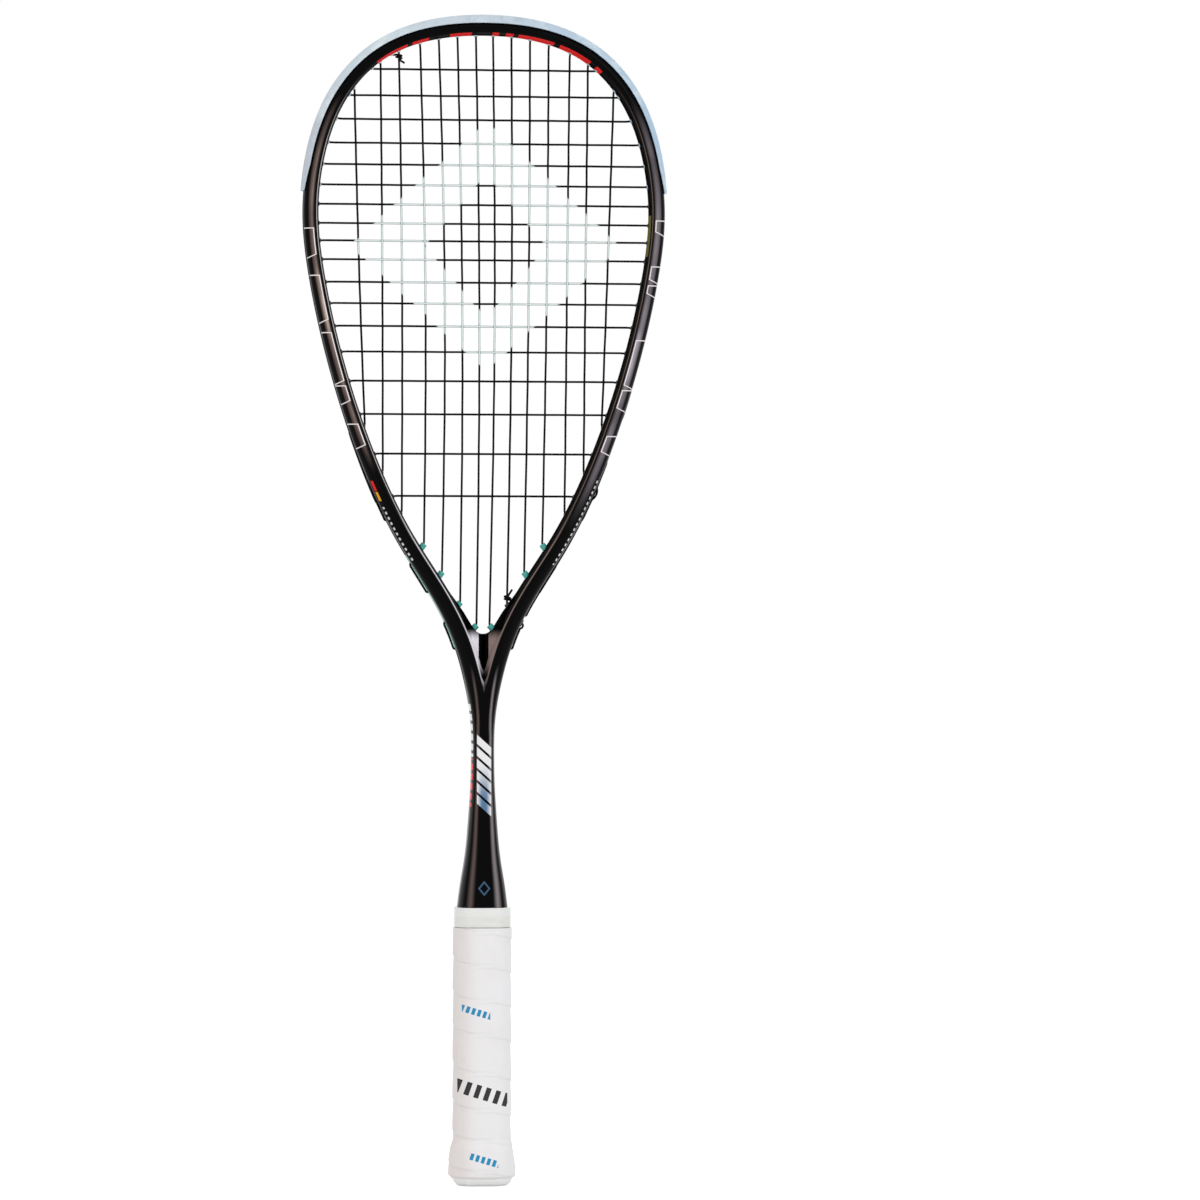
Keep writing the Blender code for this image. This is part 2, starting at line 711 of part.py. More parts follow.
def main_line(side, index):
    """Ends of a main in the string plane, as (x, z) at its two turns."""
    top, bottom = TOP[side][index].turn_in(), BOTTOM[side][index].turn_in()
    return top, bottom


def cross_line(number):
    return ENDS[LEFT][number - 1].turn_in(), ENDS[RIGHT][number - 1].turn_in()


def meet(main, cross, bow):
    """Where a main and a cross pass each other in the plane, or None."""
    (top, bottom), (left, right) = main, cross
    t = (top.z - (left.z + right.z) / 2) / (top.z - bottom.z)
    x = top.x + (bottom.x - top.x) * t + bow * math.sin(math.pi * t)
    u = (x - left.x) / (right.x - left.x)
    z = left.z + (right.z - left.z) * u
    clear = 1.2
    inside_main = bottom.z + clear < z < top.z - clear
    return (x, z) if inside_main and left.x + clear < x < right.x - clear else None


def lean(points):
    """Moves both ends a little to the side of the crossing next to them."""
    points[0].y = math.copysign(TURN_LEAN, points[1].y)
    points[-1].y = math.copysign(TURN_LEAN, points[-2].y)


def main_points(side, index, downward, straight_at=None):
    """A main from turn to turn, with a point at each cross, to the front and back in turn. Where a
    knot sits on it, straight_at is the height from which it already lies at its next crossing's depth."""
    line = main_line(side, index)
    top, bottom = line
    points = [top]
    for number in range(1, len(CROSSES) + 1):
        found = meet(line, cross_line(number), bow_of(side, index))
        if found:
            depth = WEAVE * crossing_side(main_number(side, index), number)
            points.append(Vector((found[0], depth, found[1])))
    points.append(bottom)
    lean(points)
    if straight_at is not None:
        end, nearest = (top, points[1]) if straight_at > bottom.z + 100 else (bottom, points[-2])
        x = end.x + (nearest.x - end.x) * (straight_at - end.z) / (nearest.z - end.z)
        extra = Vector((x, nearest.y, straight_at))
        points.insert(1 if end is top else len(points) - 1, extra)
    return points if downward else points[::-1]


def cross_points(number, rightward):
    line = cross_line(number)
    points = [line[0]]
    for side in (LEFT, RIGHT):
        order = range(MAINS - 1, -1, -1) if side == LEFT else range(MAINS)
        for index in order:
            found = meet(main_line(side, index), line, bow_of(side, index))
            if found:
                depth = -WEAVE * crossing_side(main_number(side, index), number)
                points.append(Vector((found[0], depth, found[1])))
    points.append(line[1])
    lean(points)
    return points if rightward else points[::-1]


def knot_points(axis_x, axis_y, base_z, start_angle, climb, tail_way):
    """A hitch round a main: a helix that climbs or falls along it, and a tail."""
    per_turn = 9
    count = round(KNOT_TURNS * per_turn)
    points = []
    for i in range(count + 1):
        angle = start_angle + 2 * math.pi * i / per_turn
        rise = climb * KNOT_RISE * i / per_turn
        x = axis_x + KNOT_RADIUS * math.cos(angle)
        y = axis_y + KNOT_RADIUS * math.sin(angle)
        points.append(Vector((x, y, base_z + rise)))
    points.append(points[-1] + tail_way.normalized() * TAIL)
    return points


def string_route():
    """The whole string, from the tail of one knot to the tail of the other."""
    bottom_main = main_line(RIGHT, KNOTTED_BOTTOM)
    top_main = main_line(LEFT, KNOTTED_TOP)
    knot_clear = 3.2
    low_z = bottom_main[1].z + knot_clear
    high_z = top_main[0].z - knot_clear
    low_side = crossing_side(main_number(RIGHT, KNOTTED_BOTTOM), len(CROSSES))
    high_side = crossing_side(main_number(LEFT, KNOTTED_TOP), 1)
    lower_knot = knot_points(
        bottom_main[1].x + 0.2, WEAVE * low_side, low_z + 1.2, 0.0, 1.0, Vector((1.5, -0.3, 2.4))
    )
    upper_knot = knot_points(
        top_main[0].x, WEAVE * high_side, high_z - 0.6, math.pi, -1.0, Vector((1.6, -0.3, -1.0))
    )
    route = lower_knot[::-1] + [BOTTOM_TIE.turn_in()]
    route += lane_run(BOTTOM_TIE, BOTTOM[RIGHT][MAINS - 1], LANE)
    route += main_points(RIGHT, MAINS - 1, downward=False)
    # Right half, outermost main to innermost.
    for index in range(MAINS - 2, -1, -1):
        downward = (MAINS - index) % 2 == 0
        row = TOP if downward else BOTTOM
        start, end = row[RIGHT][index + 1], row[RIGHT][index]
        if index == MAINS - 3:
            route += outside_run(start, end, swap_stops(start, end, over=True))
        else:
            route += lane_run(start, end, LANE if index == MAINS - 2 else 0.0)
        knotted = index == KNOTTED_BOTTOM
        route += main_points(RIGHT, index, downward, low_z - 1.2 if knotted else None)
    # Left half, innermost main to outermost.
    for index in range(MAINS):
        downward = index % 2 == 0
        row = TOP if downward else BOTTOM
        start = row[LEFT][index - 1] if index else TOP[RIGHT][0]
        lane = {MAINS - 1: LANE, MAINS - 2: -LANE}.get(index, 0.0)
        route += lane_run(start, row[LEFT][index], lane)
        knotted = index == KNOTTED_TOP
        route += main_points(LEFT, index, downward, high_z + 1.2 if knotted else None)
    # Crosses, throat to crown.
    previous = BOTTOM[LEFT][MAINS - 1]
    for number in range(len(CROSSES), 0, -1):
        rightward = number % 2 == 0
        near = LEFT if rightward else RIGHT
        end = ENDS[near][number - 1]
        if number == len(CROSSES) - 1:
            route += outside_run(previous, end, swap_stops(previous, end, over=False))
        else:
            route += lane_run(previous, end, LANE if number == len(CROSSES) else -LANE)
        route += cross_points(number, rightward)
        previous = ENDS[-near][number - 1]
    route += lane_run(previous, TOP_TIE, -LANE)
    route += [TOP_TIE.turn_in()] + upper_knot
    return route


def least_self_gap(route):
    """Least clear distance between two stretches of the string that aren't neighbours along it."""
    spots, lengths, travelled = [], [], 0.0
    for start, end in zip(route, route[1:]):
        length = (end - start).length
        count = max(1, math.ceil(length / 0.6))
        for i in range(count):
            spots.append(start.lerp(end, i / count))
            lengths.append(travelled + length * i / count)
        travelled += length
    spots, lengths = np.array(spots), np.array(lengths)
    least, where = 1e9, None
    for first in range(0, len(spots), 400):
        block = spots[first : first + 400]
        apart = np.linalg.norm(block[:, None] - spots[None], axis=2)
        near = np.abs(lengths[first : first + 400, None] - lengths[None]) < 7.0
        apart[near] = 1e9
        if apart.min() < least:
            least = float(apart.min())
            row, _ = np.unravel_index(apart.argmin(), apart.shape)
            where = block[row]
    return least - 2 * STRING_RADIUS, where, travelled


def build_string(parent):
    route = string_route()
    curve = bpy.data.curves.new("racket_string", "CURVE")
    curve.dimensions = "3D"
    curve.bevel_depth = STRING_RADIUS * MM
    curve.bevel_resolution = 0
    curve.use_fill_caps = True
    spline = curve.splines.new("POLY")
    spline.points.add(len(route) - 1)
    for spot, point in zip(spline.points, route):
        spot.co = (*(point * MM), 1.0)
    gap, where, length = least_self_gap(route)
    print(f"string: {len(route)} points, {length / 1000:.2f} m, least gap to itself {gap:.2f} mm")
    print("at", [round(float(v), 1) for v in where])
    return add_object("racket_string", curve, RACKET, parent)


# ------------------------------------------------------------------------------ handle
def octagon(width, depth, chamfer):
    x, y = width / 2, depth / 2
    return (
        (x, y - chamfer),
        (x - chamfer, y),
        (chamfer - x, y),
        (-x, y - chamfer),
        (-x, chamfer - y),
        (chamfer - x, -y),
        (x - chamfer, -y),
        (x, chamfer - y),
    )


def ring_at(outline, z):
    return [Vector((x, y, z)) for x, y in outline]


def core_outline(grow=0.0):
    """The handle's octagon, grown by the same amount on every side."""
    chamfer = CORE_CHAMFER + grow * (2 - math.sqrt(2))
    return octagon(CORE_WIDTH + 2 * grow, CORE_DEPTH + 2 * grow, chamfer)


def core_prism(name, grow, low, high):
    outline = core_outline(grow)
    return cutter(name, lofted(name, [ring_at(outline, low), ring_at(outline, high)]))


def build_core(parent):
    top = HANDLE_LENGTH - SHOULDER - GAP
    rings = [ring_at(core_outline(), CORE_BASE_Z), ring_at(core_outline(), top)]
    core = add_object("handle_core", lofted("handle_core", rings), RACKET, parent)
    wide, deep = STEM_WIDTH + 2 * GAP, STEM_DEPTH + 2 * GAP
    rings = [shaft_ring(wide, deep, STEM_BASE_Z - GAP), shaft_ring(wide, deep, HANDLE_LENGTH + 1.0)]
    boolean(core, "DIFFERENCE", cutter("stem_socket", mirrored_loft("stem_socket", rings)))
    boolean(core, "DIFFERENCE", staple_legs())
    return core


def mirrored_loft(name, rings):
    """A loft whose right half is mirrored to the left, as the frame's is."""
    right = [[point for point in ring if point.x > 0] for ring in rings]
    whole = []
    for ring in right:
        ring = sorted(ring, key=lambda point: math.atan2(point.y, point.x))
        whole.append(ring + [Vector((-point.x, point.y, point.z)) for point in reversed(ring)])
    return lofted(name, whole)


def cap_profile():
    """(height, growth over the core's octagon) of the cap's outside, butt to skirt."""
    skirt = GAP + CAP_SKIRT
    return (
        (0.0, skirt - 2.6),
        (1.0, skirt - 0.9),
        (2.8, skirt + 0.3),
        (6.0, skirt + CAP_FLARE),
        (11.0, skirt + CAP_FLARE),
        (CAP_HEIGHT, skirt),
    )


def build_cap(parent):
    rings = [ring_at(core_outline(grow), z) for z, grow in cap_profile()]
    cap = add_object("butt_cap", lofted("butt_cap", rings), RACKET, parent)
    boolean(cap, "DIFFERENCE", core_prism("cap_socket", GAP, CAP_FLOOR, CAP_HEIGHT + 5.0))
    boolean(cap, "DIFFERENCE", staple_legs())
    return cap


def bridged_profile():
    """The cap's outside, and the slope by which the wound tape comes down from it onto the core."""
    _, skirt = cap_profile()[-1]
    return cap_profile() + ((CAP_HEIGHT + GAP, skirt), (CAP_HEIGHT + GAP + GRIP_BRIDGE, 0.0))


def sleeve_cutter(name, low, high):
    """Room for the core and the cap inside the grip."""
    bare = [(z, grow) for z, grow in bridged_profile() if z >= low] + [(high, 0.0)]
    rings = [ring_at(core_outline(grow + GAP), z) for z, grow in bare]
    return cutter(name, lofted(name, rings))


def grip_growth(z):
    """Growth of the grip's outer face over the core's octagon at a height, less its laps."""
    heights = [height for height, _ in bridged_profile()]
    growth = [grow for _, grow in bridged_profile()]
    return float(np.interp(z, heights, growth)) + GAP + GRIP_THICKNESS


def split_sides(outline):
    """An outline with a point more in the middle of each side."""
    points = []
    for (x0, y0), (x1, y1) in zip(outline, outline[1:] + outline[:1]):
        points += [(x0, y0), ((x0 + x1) / 2, (y0 + y1) / 2)]
    return points


def build_grip(parent):
    """The wound tape: each turn's lower edge lies over the turn before, as a step that runs round."""
    top = HANDLE_LENGTH - TAPE_WIDTH - GAP
    bends = [z for z, _ in bridged_profile() if z > GRIP_BASE_Z + 1.0]
    rings = []
    for z in sorted([GRIP_BASE_Z] + bends + along_steps(bends[-1] + GRIP_STEP, top, GRIP_STEP)):
        ring = []
        for x, y in split_sides(core_outline(grip_growth(z))):
            turn = (z / GRIP_PITCH + math.atan2(y, x) / (2 * math.pi)) % 1.0
            grow = 1 + GRIP_LAP * (1 - turn) / math.hypot(x, y)
            ring.append(Vector((x * grow, y * grow, z)))
        rings.append(ring)
    grip = add_object("grip_tape", lofted("grip_tape", rings), RACKET, parent)
    boolean(grip, "DIFFERENCE", sleeve_cutter("grip_room", GRIP_BASE_Z - 2.0, top + 5.0))
    return grip


def build_finishing_tape(parent):
    low, high = HANDLE_LENGTH - TAPE_WIDTH, HANDLE_LENGTH + 0.9
    outline = core_outline(GAP + TAPE_THICKNESS)
    rings = [ring_at(outline, low), ring_at(outline, high)]
    tape = add_object("finishing_tape", lofted("finishing_tape", rings), RACKET, parent)
    boolean(tape, "DIFFERENCE", core_prism("tape_room", GAP, low - 2.0, high + 2.0))
    return tape


def staple_box(bm, x, y, z, size):
    bmesh.ops.create_cube(bm, size=1.0, matrix=Matrix.LocRotScale((x, y, z), None, size))


def cap_face_out():
    """Distance from the middle to the cap's broad face at the staples' height."""
    heights = [height for height, _ in cap_profile()]
    growth = np.interp(STAPLE_Z, heights, [grow for _, grow in cap_profile()])
    return CORE_DEPTH / 2 + float(growth)


def staple_legs():
    """Room for the two staples in the cap and the core."""
    if "staple_room" in bpy.data.objects:
        return bpy.data.objects["staple_room"]
    legs = bmesh.new()
    recesses = bmesh.new()
    wide = STAPLE_WIRE + 2 * GAP
    deep = STAPLE_SINK + STAPLE_WIRE + GAP + OVERRUN
    leg = STAPLE_SINK + STAPLE_LEG + GAP + OVERRUN
    face = cap_face_out() + OVERRUN
    for front in (-1, 1):
        staple_box(
            recesses, 0.0, front * (face - deep / 2), STAPLE_Z, (STAPLE_SPAN + 2 * GAP, deep, wide)
        )
        for side in (-1, 1):
            x = side * (STAPLE_SPAN - STAPLE_WIRE) / 2
            staple_box(legs, x, front * (face - leg / 2), STAPLE_Z, (wide, leg, wide))
    room = cutter("staple_room", finish(legs, "staple_room"))
    boolean(room, "UNION", cutter("staple_recesses", finish(recesses, "staple_recesses")))
    return room


def build_staple(name, front, parent):
    """A wire staple: its crown lies sunk in the cap's skirt and its legs go into the core."""
    bm = bmesh.new()
    crown_y = front * (cap_face_out() - STAPLE_SINK - STAPLE_WIRE / 2)
    staple_box(bm, 0.0, crown_y, STAPLE_Z, (STAPLE_SPAN, STAPLE_WIRE, STAPLE_WIRE))
    staple = add_object(name, finish(bm, name), RACKET, parent)
    legs = bmesh.new()
    for side in (-1, 1):
        x = side * (STAPLE_SPAN - STAPLE_WIRE) / 2
        y = crown_y + front * (STAPLE_WIRE - STAPLE_LEG) / 2
        staple_box(legs, x, y, STAPLE_Z, (STAPLE_WIRE, STAPLE_LEG, STAPLE_WIRE))
    boolean(staple, "UNION", cutter(f"{name}_legs", finish(legs, f"{name}_legs")))
    return staple


# ------------------------------------------------------------------------------ the racket
clear_scene()
RACKET = new_collection("squash_racket")
CUTTERS = new_collection("cutters", helper=True)

CARBON = material("carbon_black_gloss", (0.012, 0.012, 0.014), 0.22)
PALE = material("pale_grommet_plastic", (0.58, 0.63, 0.74), 0.45)
BLACK_PLASTIC = material("black_grommet_plastic", (0.015, 0.015, 0.016), 0.45)
TEAL = material("teal_grommet_plastic", (0.06, 0.45, 0.38), 0.40)
STRING_BLACK = material("black_string", (0.02, 0.02, 0.022), 0.35)
FOAM = material("handle_foam", (0.45, 0.42, 0.36), 0.85)
CAP_PLASTIC = material("butt_cap_plastic", (0.75, 0.75, 0.76), 0.45)
WHITE_TAPE = material("white_grip_tape", (0.80, 0.80, 0.80), 0.75)
BAND = material("finishing_band", (0.66, 0.67, 0.69), 0.55)
STEEL = material("staple_steel", (0.55, 0.55, 0.57), 0.30, 1.0)

root = add_object("racket_origin", None, RACKET)
build_frame(root).data.materials.append(CARBON)
build_bumper(root).data.materials.append(PALE)
build_side_strip("side_grommet_strip_left", LEFT, root).data.materials.append(BLACK_PLASTIC)
build_side_strip("side_grommet_strip_right", RIGHT, root).data.materials.append(BLACK_PLASTIC)
build_throat_strips(root)
build_tie_off_grommet(root).data.materials.append(BLACK_PLASTIC)
build_string(root).data.materials.append(STRING_BLACK)
build_core(root).data.materials.append(FOAM)
build_cap(root).data.materials.append(CAP_PLASTIC)
build_staple("butt_staple_front", -1, root).data.materials.append(STEEL)
build_staple("butt_staple_rear", 1, root).data.materials.append(STEEL)
build_grip(root).data.materials.append(WHITE_TAPE)
build_finishing_tape(root).data.materials.append(BAND)
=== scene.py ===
"""Looks of the squash racket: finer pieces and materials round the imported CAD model, light and camera.

The pieces follow the same rail, holes and string route as the CAD model, in millimetres, and become metres
in their meshes. Everything stands in the CAD model's frame: +Z from butt to head, -Y to the front.
"""

import math
from contextlib import contextmanager

import bmesh
import bpy
import numpy as np
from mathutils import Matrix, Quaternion, Vector


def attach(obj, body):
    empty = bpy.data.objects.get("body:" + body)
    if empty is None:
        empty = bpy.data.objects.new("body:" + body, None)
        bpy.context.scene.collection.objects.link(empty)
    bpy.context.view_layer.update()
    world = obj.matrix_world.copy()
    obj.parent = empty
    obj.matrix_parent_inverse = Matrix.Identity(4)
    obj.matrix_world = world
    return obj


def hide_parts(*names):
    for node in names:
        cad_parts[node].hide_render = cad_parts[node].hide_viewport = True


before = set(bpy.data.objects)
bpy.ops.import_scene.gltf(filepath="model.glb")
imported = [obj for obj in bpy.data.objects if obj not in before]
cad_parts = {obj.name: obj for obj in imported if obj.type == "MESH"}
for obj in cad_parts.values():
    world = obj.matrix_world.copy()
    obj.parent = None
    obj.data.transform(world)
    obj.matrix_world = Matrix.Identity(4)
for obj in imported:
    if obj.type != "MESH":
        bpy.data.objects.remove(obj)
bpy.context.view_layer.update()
scene = bpy.context.scene
MM = 0.001

# ---- Camera: a long lens level with the racket's middle, seeing a little of its left side
IMAGE_PX = 1200
MM_PER_PX = 0.5866
DISTANCE = 4.0
AZIMUTH, ROLL = math.radians(-6.5), math.radians(0.15)
BUTT_PX, AXIS_PX = 1184.6, 483.0
SENSOR = 36.0

# ---- The CAD model's sizes
GAP = 0.3
HANDLE_LENGTH, SHAFT_LENGTH, HEAD_LENGTH = 161.7, 160.3, 355.9
HEAD_HALF_WIDTH, TUBE_WIDTH, TUBE_DEPTH, GROOVE_DEPTH = 102.0, 9.0, 18.0, 2.6
THROAT_Z = HANDLE_LENGTH + SHAFT_LENGTH
HEAD_ROWS = (
    (0.0000, 1.0000, 0.878, 0.972, 1.00),
    (0.3039, 0.9919, 0.900, 0.972, 1.00),
    (0.5971, 0.9584, 0.933, 0.978, 1.00),
    (0.8304, 0.8885, 0.978, 0.989, 1.00),
    (0.9667, 0.7851, 1.000, 1.000, 1.00),
    (1.0000, 0.6968, 1.011, 1.011, 1.00),
    (0.9608, 0.5872, 1.011, 1.028, 1.00),
    (0.8569, 0.4543, 1.022, 1.050, 0.96),
    (0.6686, 0.2908, 1.078, 1.072, 0.77),
    (0.4461, 0.1576, 1.122, 1.089, 0.50),
    (0.2314, 0.0587, 1.189, 1.100, 0.46),
    (0.1196, -0.0073, 1.244, 1.100, 0.42),
)
SHAFT_ROWS = (
    (0.0510, -0.1622, 1.289, 1.089, 0.12),
    (0.0078, -0.3088, 1.400, 1.078, 0.02),
    (0.0000, -0.4180, 1.444, 1.067, 0.02),
)
FLARE_ROWS = (
    (0.4679, 0.4474, 0.7405),
    (0.3244, 0.5395, 0.7786),
    (0.1809, 0.6875, 0.8397),
    (0.0749, 0.8684, 0.9313),
    (0.0000, 0.9671, 0.9695),
)
STEM_WIDTH, STEM_DEPTH, STEM_BASE_Z = 22.0, 17.0, 6.0
GROOVE_HALF, GROOVE_TAPER = 3.4, 0.2
ARM_CREST, SHAFT_CREST, CREST_REACH = 0.10, 0.55, 8.0
# The web between the arms: distances from the middle, and there its top and bottom over the throat and
# its half depth as a share of the arms'.
WEB_SPAN = (0.0, 1.5, 2.6, 4.0, 5.5, 7.0, 8.5, 10.0, 11.5, 13.0, 14.5, 16.0, 17.5, 19.0, 20.5)
WEB_TOPS = (0.9, 1.0, 1.3, 2.1, 3.6, 5.7, 8.2, 10.8, 13.4, 15.6, 17.8, 20.0, 22.0, 24.0, 26.2)
WEB_BOTTOMS = (-24, -24, -24, -24, -24, -24, -22, -14, -8, -3, 2, 6, 10, 14, 18)
WEB_DEPTHS = (0.40, 0.40, 0.40, 0.50, 0.60, 0.66, 0.60, 0.52, 0.44, 0.40, 0.38, 0.38, 0.38, 0.38, 0.38)
WEB_EDGE = ((0.0, 0.9), (0.27, 0.27), (0.9, 0.0))  # its rounded edge: inward and under
WEB_RINGS, WEB_SHARE = 44, 0.02
STRING_RADIUS, WEAVE, LANE, TURN_LEAN, SETTLE, CLIMB = 0.63, 0.65, 1.95, 0.2, 3.2, 1.4
MAIN_TOPS = (0.0490, 0.1559, 0.2627, 0.3706, 0.4922, 0.5980, 0.7471)
MAIN_BOTTOMS = (0.0363, 0.1304, 0.2363, 0.3402, 0.4686, 0.5784, 0.6824)
CROSSES = (
    0.9312, 0.8879, 0.8488, 0.8098, 0.7744, 0.7409,
    0.7089, 0.6777, 0.6491, 0.6182, 0.5811, 0.5462,
    0.5089, 0.4667, 0.4187, 0.3641, 0.2990, 0.2296,
)  # fmt: skip
BOWS = (-0.5, 0.4, 1.0, 2.0, 2.6, 2.1, 1.9, 2.0, 1.4, 0.9, 0.8, 0.0, -0.1, 0.2)
MAINS = len(MAIN_TOPS)
SHORT_RUN, LANE_STEP, TURN_DEPTH, TURN_REACH, EDGE_MARGIN = 2.0, 6.0, 0.5, 0.9, 1.2
SWAP_MARGINS, CLIMB_POWER = (0.2, 1.4), 0.6
KNOT_FROM_MOUTH, STRAIGHT_FROM_KNOT, KNOT_POINTS = 3.2, 1.2, 9
KNOT_TURNS, KNOT_RADIUS, KNOT_RISE, TAIL = 1.75, 1.7, 1.4, 4.5
BASE_THICKNESS, BARREL_BORE, BARREL_RADIUS, BARREL_PROUD, BARREL_ROOT = 0.8, 0.95, 1.3, 0.7, 1.2
THROAT_BARREL_RADIUS, THROAT_BARREL_PROUDS, THROAT_LEAN = 1.9, (5.4, 2.8, 2.8, 2.8), 0.4
MOUTH, TIE_OFF_SPACING, KNOTTED_PROUD = -0.2, 4.6, 1.9
TIE_OFF_FLANGE, TIE_OFF_FLANGE_THICKNESS = 2.3, 0.6
BUMPER_PROUD, BUMPER_END_PROUD, BUMPER_END_SHARE = 4.1, 1.6, 0.7290
BUMPER_FALL, BUMPER_TAPER, BUMPER_CHANNEL, STRIP_END = 1.1, 15.0, 2.75, 3.4
CORE_WIDTH, CORE_DEPTH, CORE_CHAMFER = 30.4, 26.2, 6.0
CAP_HEIGHT, CAP_SKIRT, CAP_FLARE = 21.0, 1.1, 1.2
GRIP_THICKNESS, GRIP_LAP, GRIP_BASE_Z, GRIP_BRIDGE = 1.0, 0.6, 4.6, 5.0
TAPE_WIDTH, TAPE_THICKNESS = 10.6, 0.55

# ---- Fineness of the pieces
RING_STEP = 3.0  # mm between two rings of the frame, the strips and the bumper
ROUND_POINTS = 4  # points of each rounded corner
STRING_SIDES, BEND_REACH, CROSSING_REACH, BEND_POINTS = 10, 1.1, 3.2, 4
BEND_SHARE, GENTLE_COSINE = 0.48, -0.9  # greatest share of a straight run in a bend, and a slight bend
BARREL_SIDES, FLANGE_SIDES = 16, 24


# ------------------------------------------------------------------------------ meshes
def skin(name, rings, along=None, across=None, closed_ends=True, smooth_angle=38.0):
    """A mesh in metres from rings of as many points each, in millimetres, skinned in a row. UV: along is
    a value for each ring, across a value for each point of each ring and for the first one again."""
    rings = np.asarray(rings, float)
    count, points = rings.shape[:2]
    along = np.arange(count) if along is None else np.asarray(along, float)
    if across is None:
        across = np.tile(np.linspace(0, 1, points + 1), (count, 1))
    across = np.asarray(across, float)
    row, column = np.meshgrid(np.arange(count - 1), np.arange(points), indexing="ij")
    row, column = row.ravel(), column.ravel()
    ring = np.stack([row, row, row + 1, row + 1], axis=1)
    point = np.stack([column, column + 1, column + 1, column], axis=1)
    faces = (ring * points + point % points).tolist()
    uv = np.stack([along[ring], across[ring, point]], axis=2).reshape(-1, 2)
    if closed_ends:
        first, last = list(range(points)), list(range((count - 1) * points, count * points))
        faces += [first, last[::-1]]
        ends = [(along[0], across[0, k]) for k in range(points)]
        ends += [(along[-1], across[-1, k]) for k in reversed(range(points))]
        uv = np.concatenate([uv, np.array(ends)])
    mesh = bpy.data.meshes.new(name)
    mesh.from_pydata((rings.reshape(-1, 3) * MM).tolist(), [], faces)
    layer = mesh.uv_layers.new(name="UVMap")
    layer.data.foreach_set("uv", uv.ravel())
    with editing(mesh) as bm:
        bmesh.ops.recalc_face_normals(bm, faces=bm.faces)
    smooth(mesh, smooth_angle)
    return mesh


@contextmanager
def editing(mesh):
    bm = bmesh.new()
    bm.from_mesh(mesh)
    yield bm
    bm.to_mesh(mesh)
    bm.free()


def smooth(mesh, angle):
    mesh.shade_smooth()
    mesh.set_sharp_from_angle(angle=math.radians(angle))


def joined(name, meshes, smooth_angle=38.0):
    """One mesh of several, each closed in itself."""
    bm = bmesh.new()
    for mesh in meshes:
        bm.from_mesh(mesh)
        bpy.data.meshes.remove(mesh)
    mesh = bpy.data.meshes.new(name)
    bm.to_mesh(mesh)
    bm.free()
    smooth(mesh, smooth_angle)
    return mesh


def piece(name, mesh, material, replaces=()):
    obj = bpy.data.objects.new(name, mesh)
    scene.collection.objects.link(obj)
    obj.data.materials.append(material)
    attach(obj, "root")
    if replaces:
        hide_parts(*replaces)
    return obj


def rounded(outline, shares, points=ROUND_POINTS):
    """A closed outline with each corner turned into a small curve; shares say how much of the shorter
    side next to a corner its curve takes."""
    corners = np.asarray(outline, float)
    before, after = np.roll(corners, 1, axis=0), np.roll(corners, -1, axis=0)
    result = []
    for corner, last, following, share in zip(corners, before, after, shares):
        lengths = np.linalg.norm(last - corner), np.linalg.norm(following - corner)
        result += bend(corner, last - corner, following - corner, lengths, share * min(lengths), points)
    return np.array(result)


def bend(corner, back, ahead, lengths, reach, points):
    """Points of a small curve that takes a corner, from its reach back to its reach ahead."""
    start, end = corner + back / lengths[0] * reach, corner + ahead / lengths[1] * reach
    return [(1 - t) ** 2 * start + 2 * t * (1 - t) * corner + t**2 * end for t in np.linspace(0, 1, points)]


# ------------------------------------------------------------------------------ the tube's rail
def spline_slopes(knots, values, first_slope, last_slope):
    count = len(knots)
    step = np.diff(knots)
    system = np.zeros((count, count))
    right = np.zeros_like(values)
    system[0, 0] = system[-1, -1] = 1.0
    right[0], right[-1] = first_slope, last_slope
    for i in range(1, count - 1):
        before, after = step[i - 1], step[i]
        system[i, i - 1 : i + 2] = 1 / before, 2 / before + 2 / after, 1 / after
        rise_before = (values[i] - values[i - 1]) / before**2
        rise_after = (values[i + 1] - values[i]) / after**2
        right[i] = 3 * (rise_before + rise_after)
    return np.linalg.solve(system, right)


def spline_at(knots, values, slopes, at):
    i = min(max(int(np.searchsorted(knots, at, side="right")) - 1, 0), len(knots) - 2)
    span = knots[i + 1] - knots[i]
    t = (at - knots[i]) / span
    return (
        (2 * t**3 - 3 * t**2 + 1) * values[i]
        + (t**3 - 2 * t**2 + t) * span * slopes[i]
        + (3 * t**2 - 2 * t**3) * values[i + 1]
        + (t**3 - t**2) * span * slopes[i + 1]
    )


def stations(rows, length):
    table = np.array(rows) * (HEAD_HALF_WIDTH, length, TUBE_WIDTH, TUBE_DEPTH, GROOVE_DEPTH)
    table[:, 1] += THROAT_Z
    return table


STATIONS = np.concatenate([stations(HEAD_ROWS, HEAD_LENGTH), stations(SHAFT_ROWS, SHAFT_LENGTH)])
KNOTS = np.concatenate([[0.0], np.cumsum(np.hypot(*np.diff(STATIONS[:, :2], axis=0).T))])
LEVEL, PLUMB = (1.0, 0.0, 0.0, 0.0, 0.0), (0.0, -1.0, 0.0, 0.0, 0.0)
SLOPES = spline_slopes(KNOTS, STATIONS, LEVEL, PLUMB)
TUBE_END = KNOTS[-1]


def station_at(along):
    return spline_at(KNOTS, STATIONS, SLOPES, min(max(along, 0.0), TUBE_END))


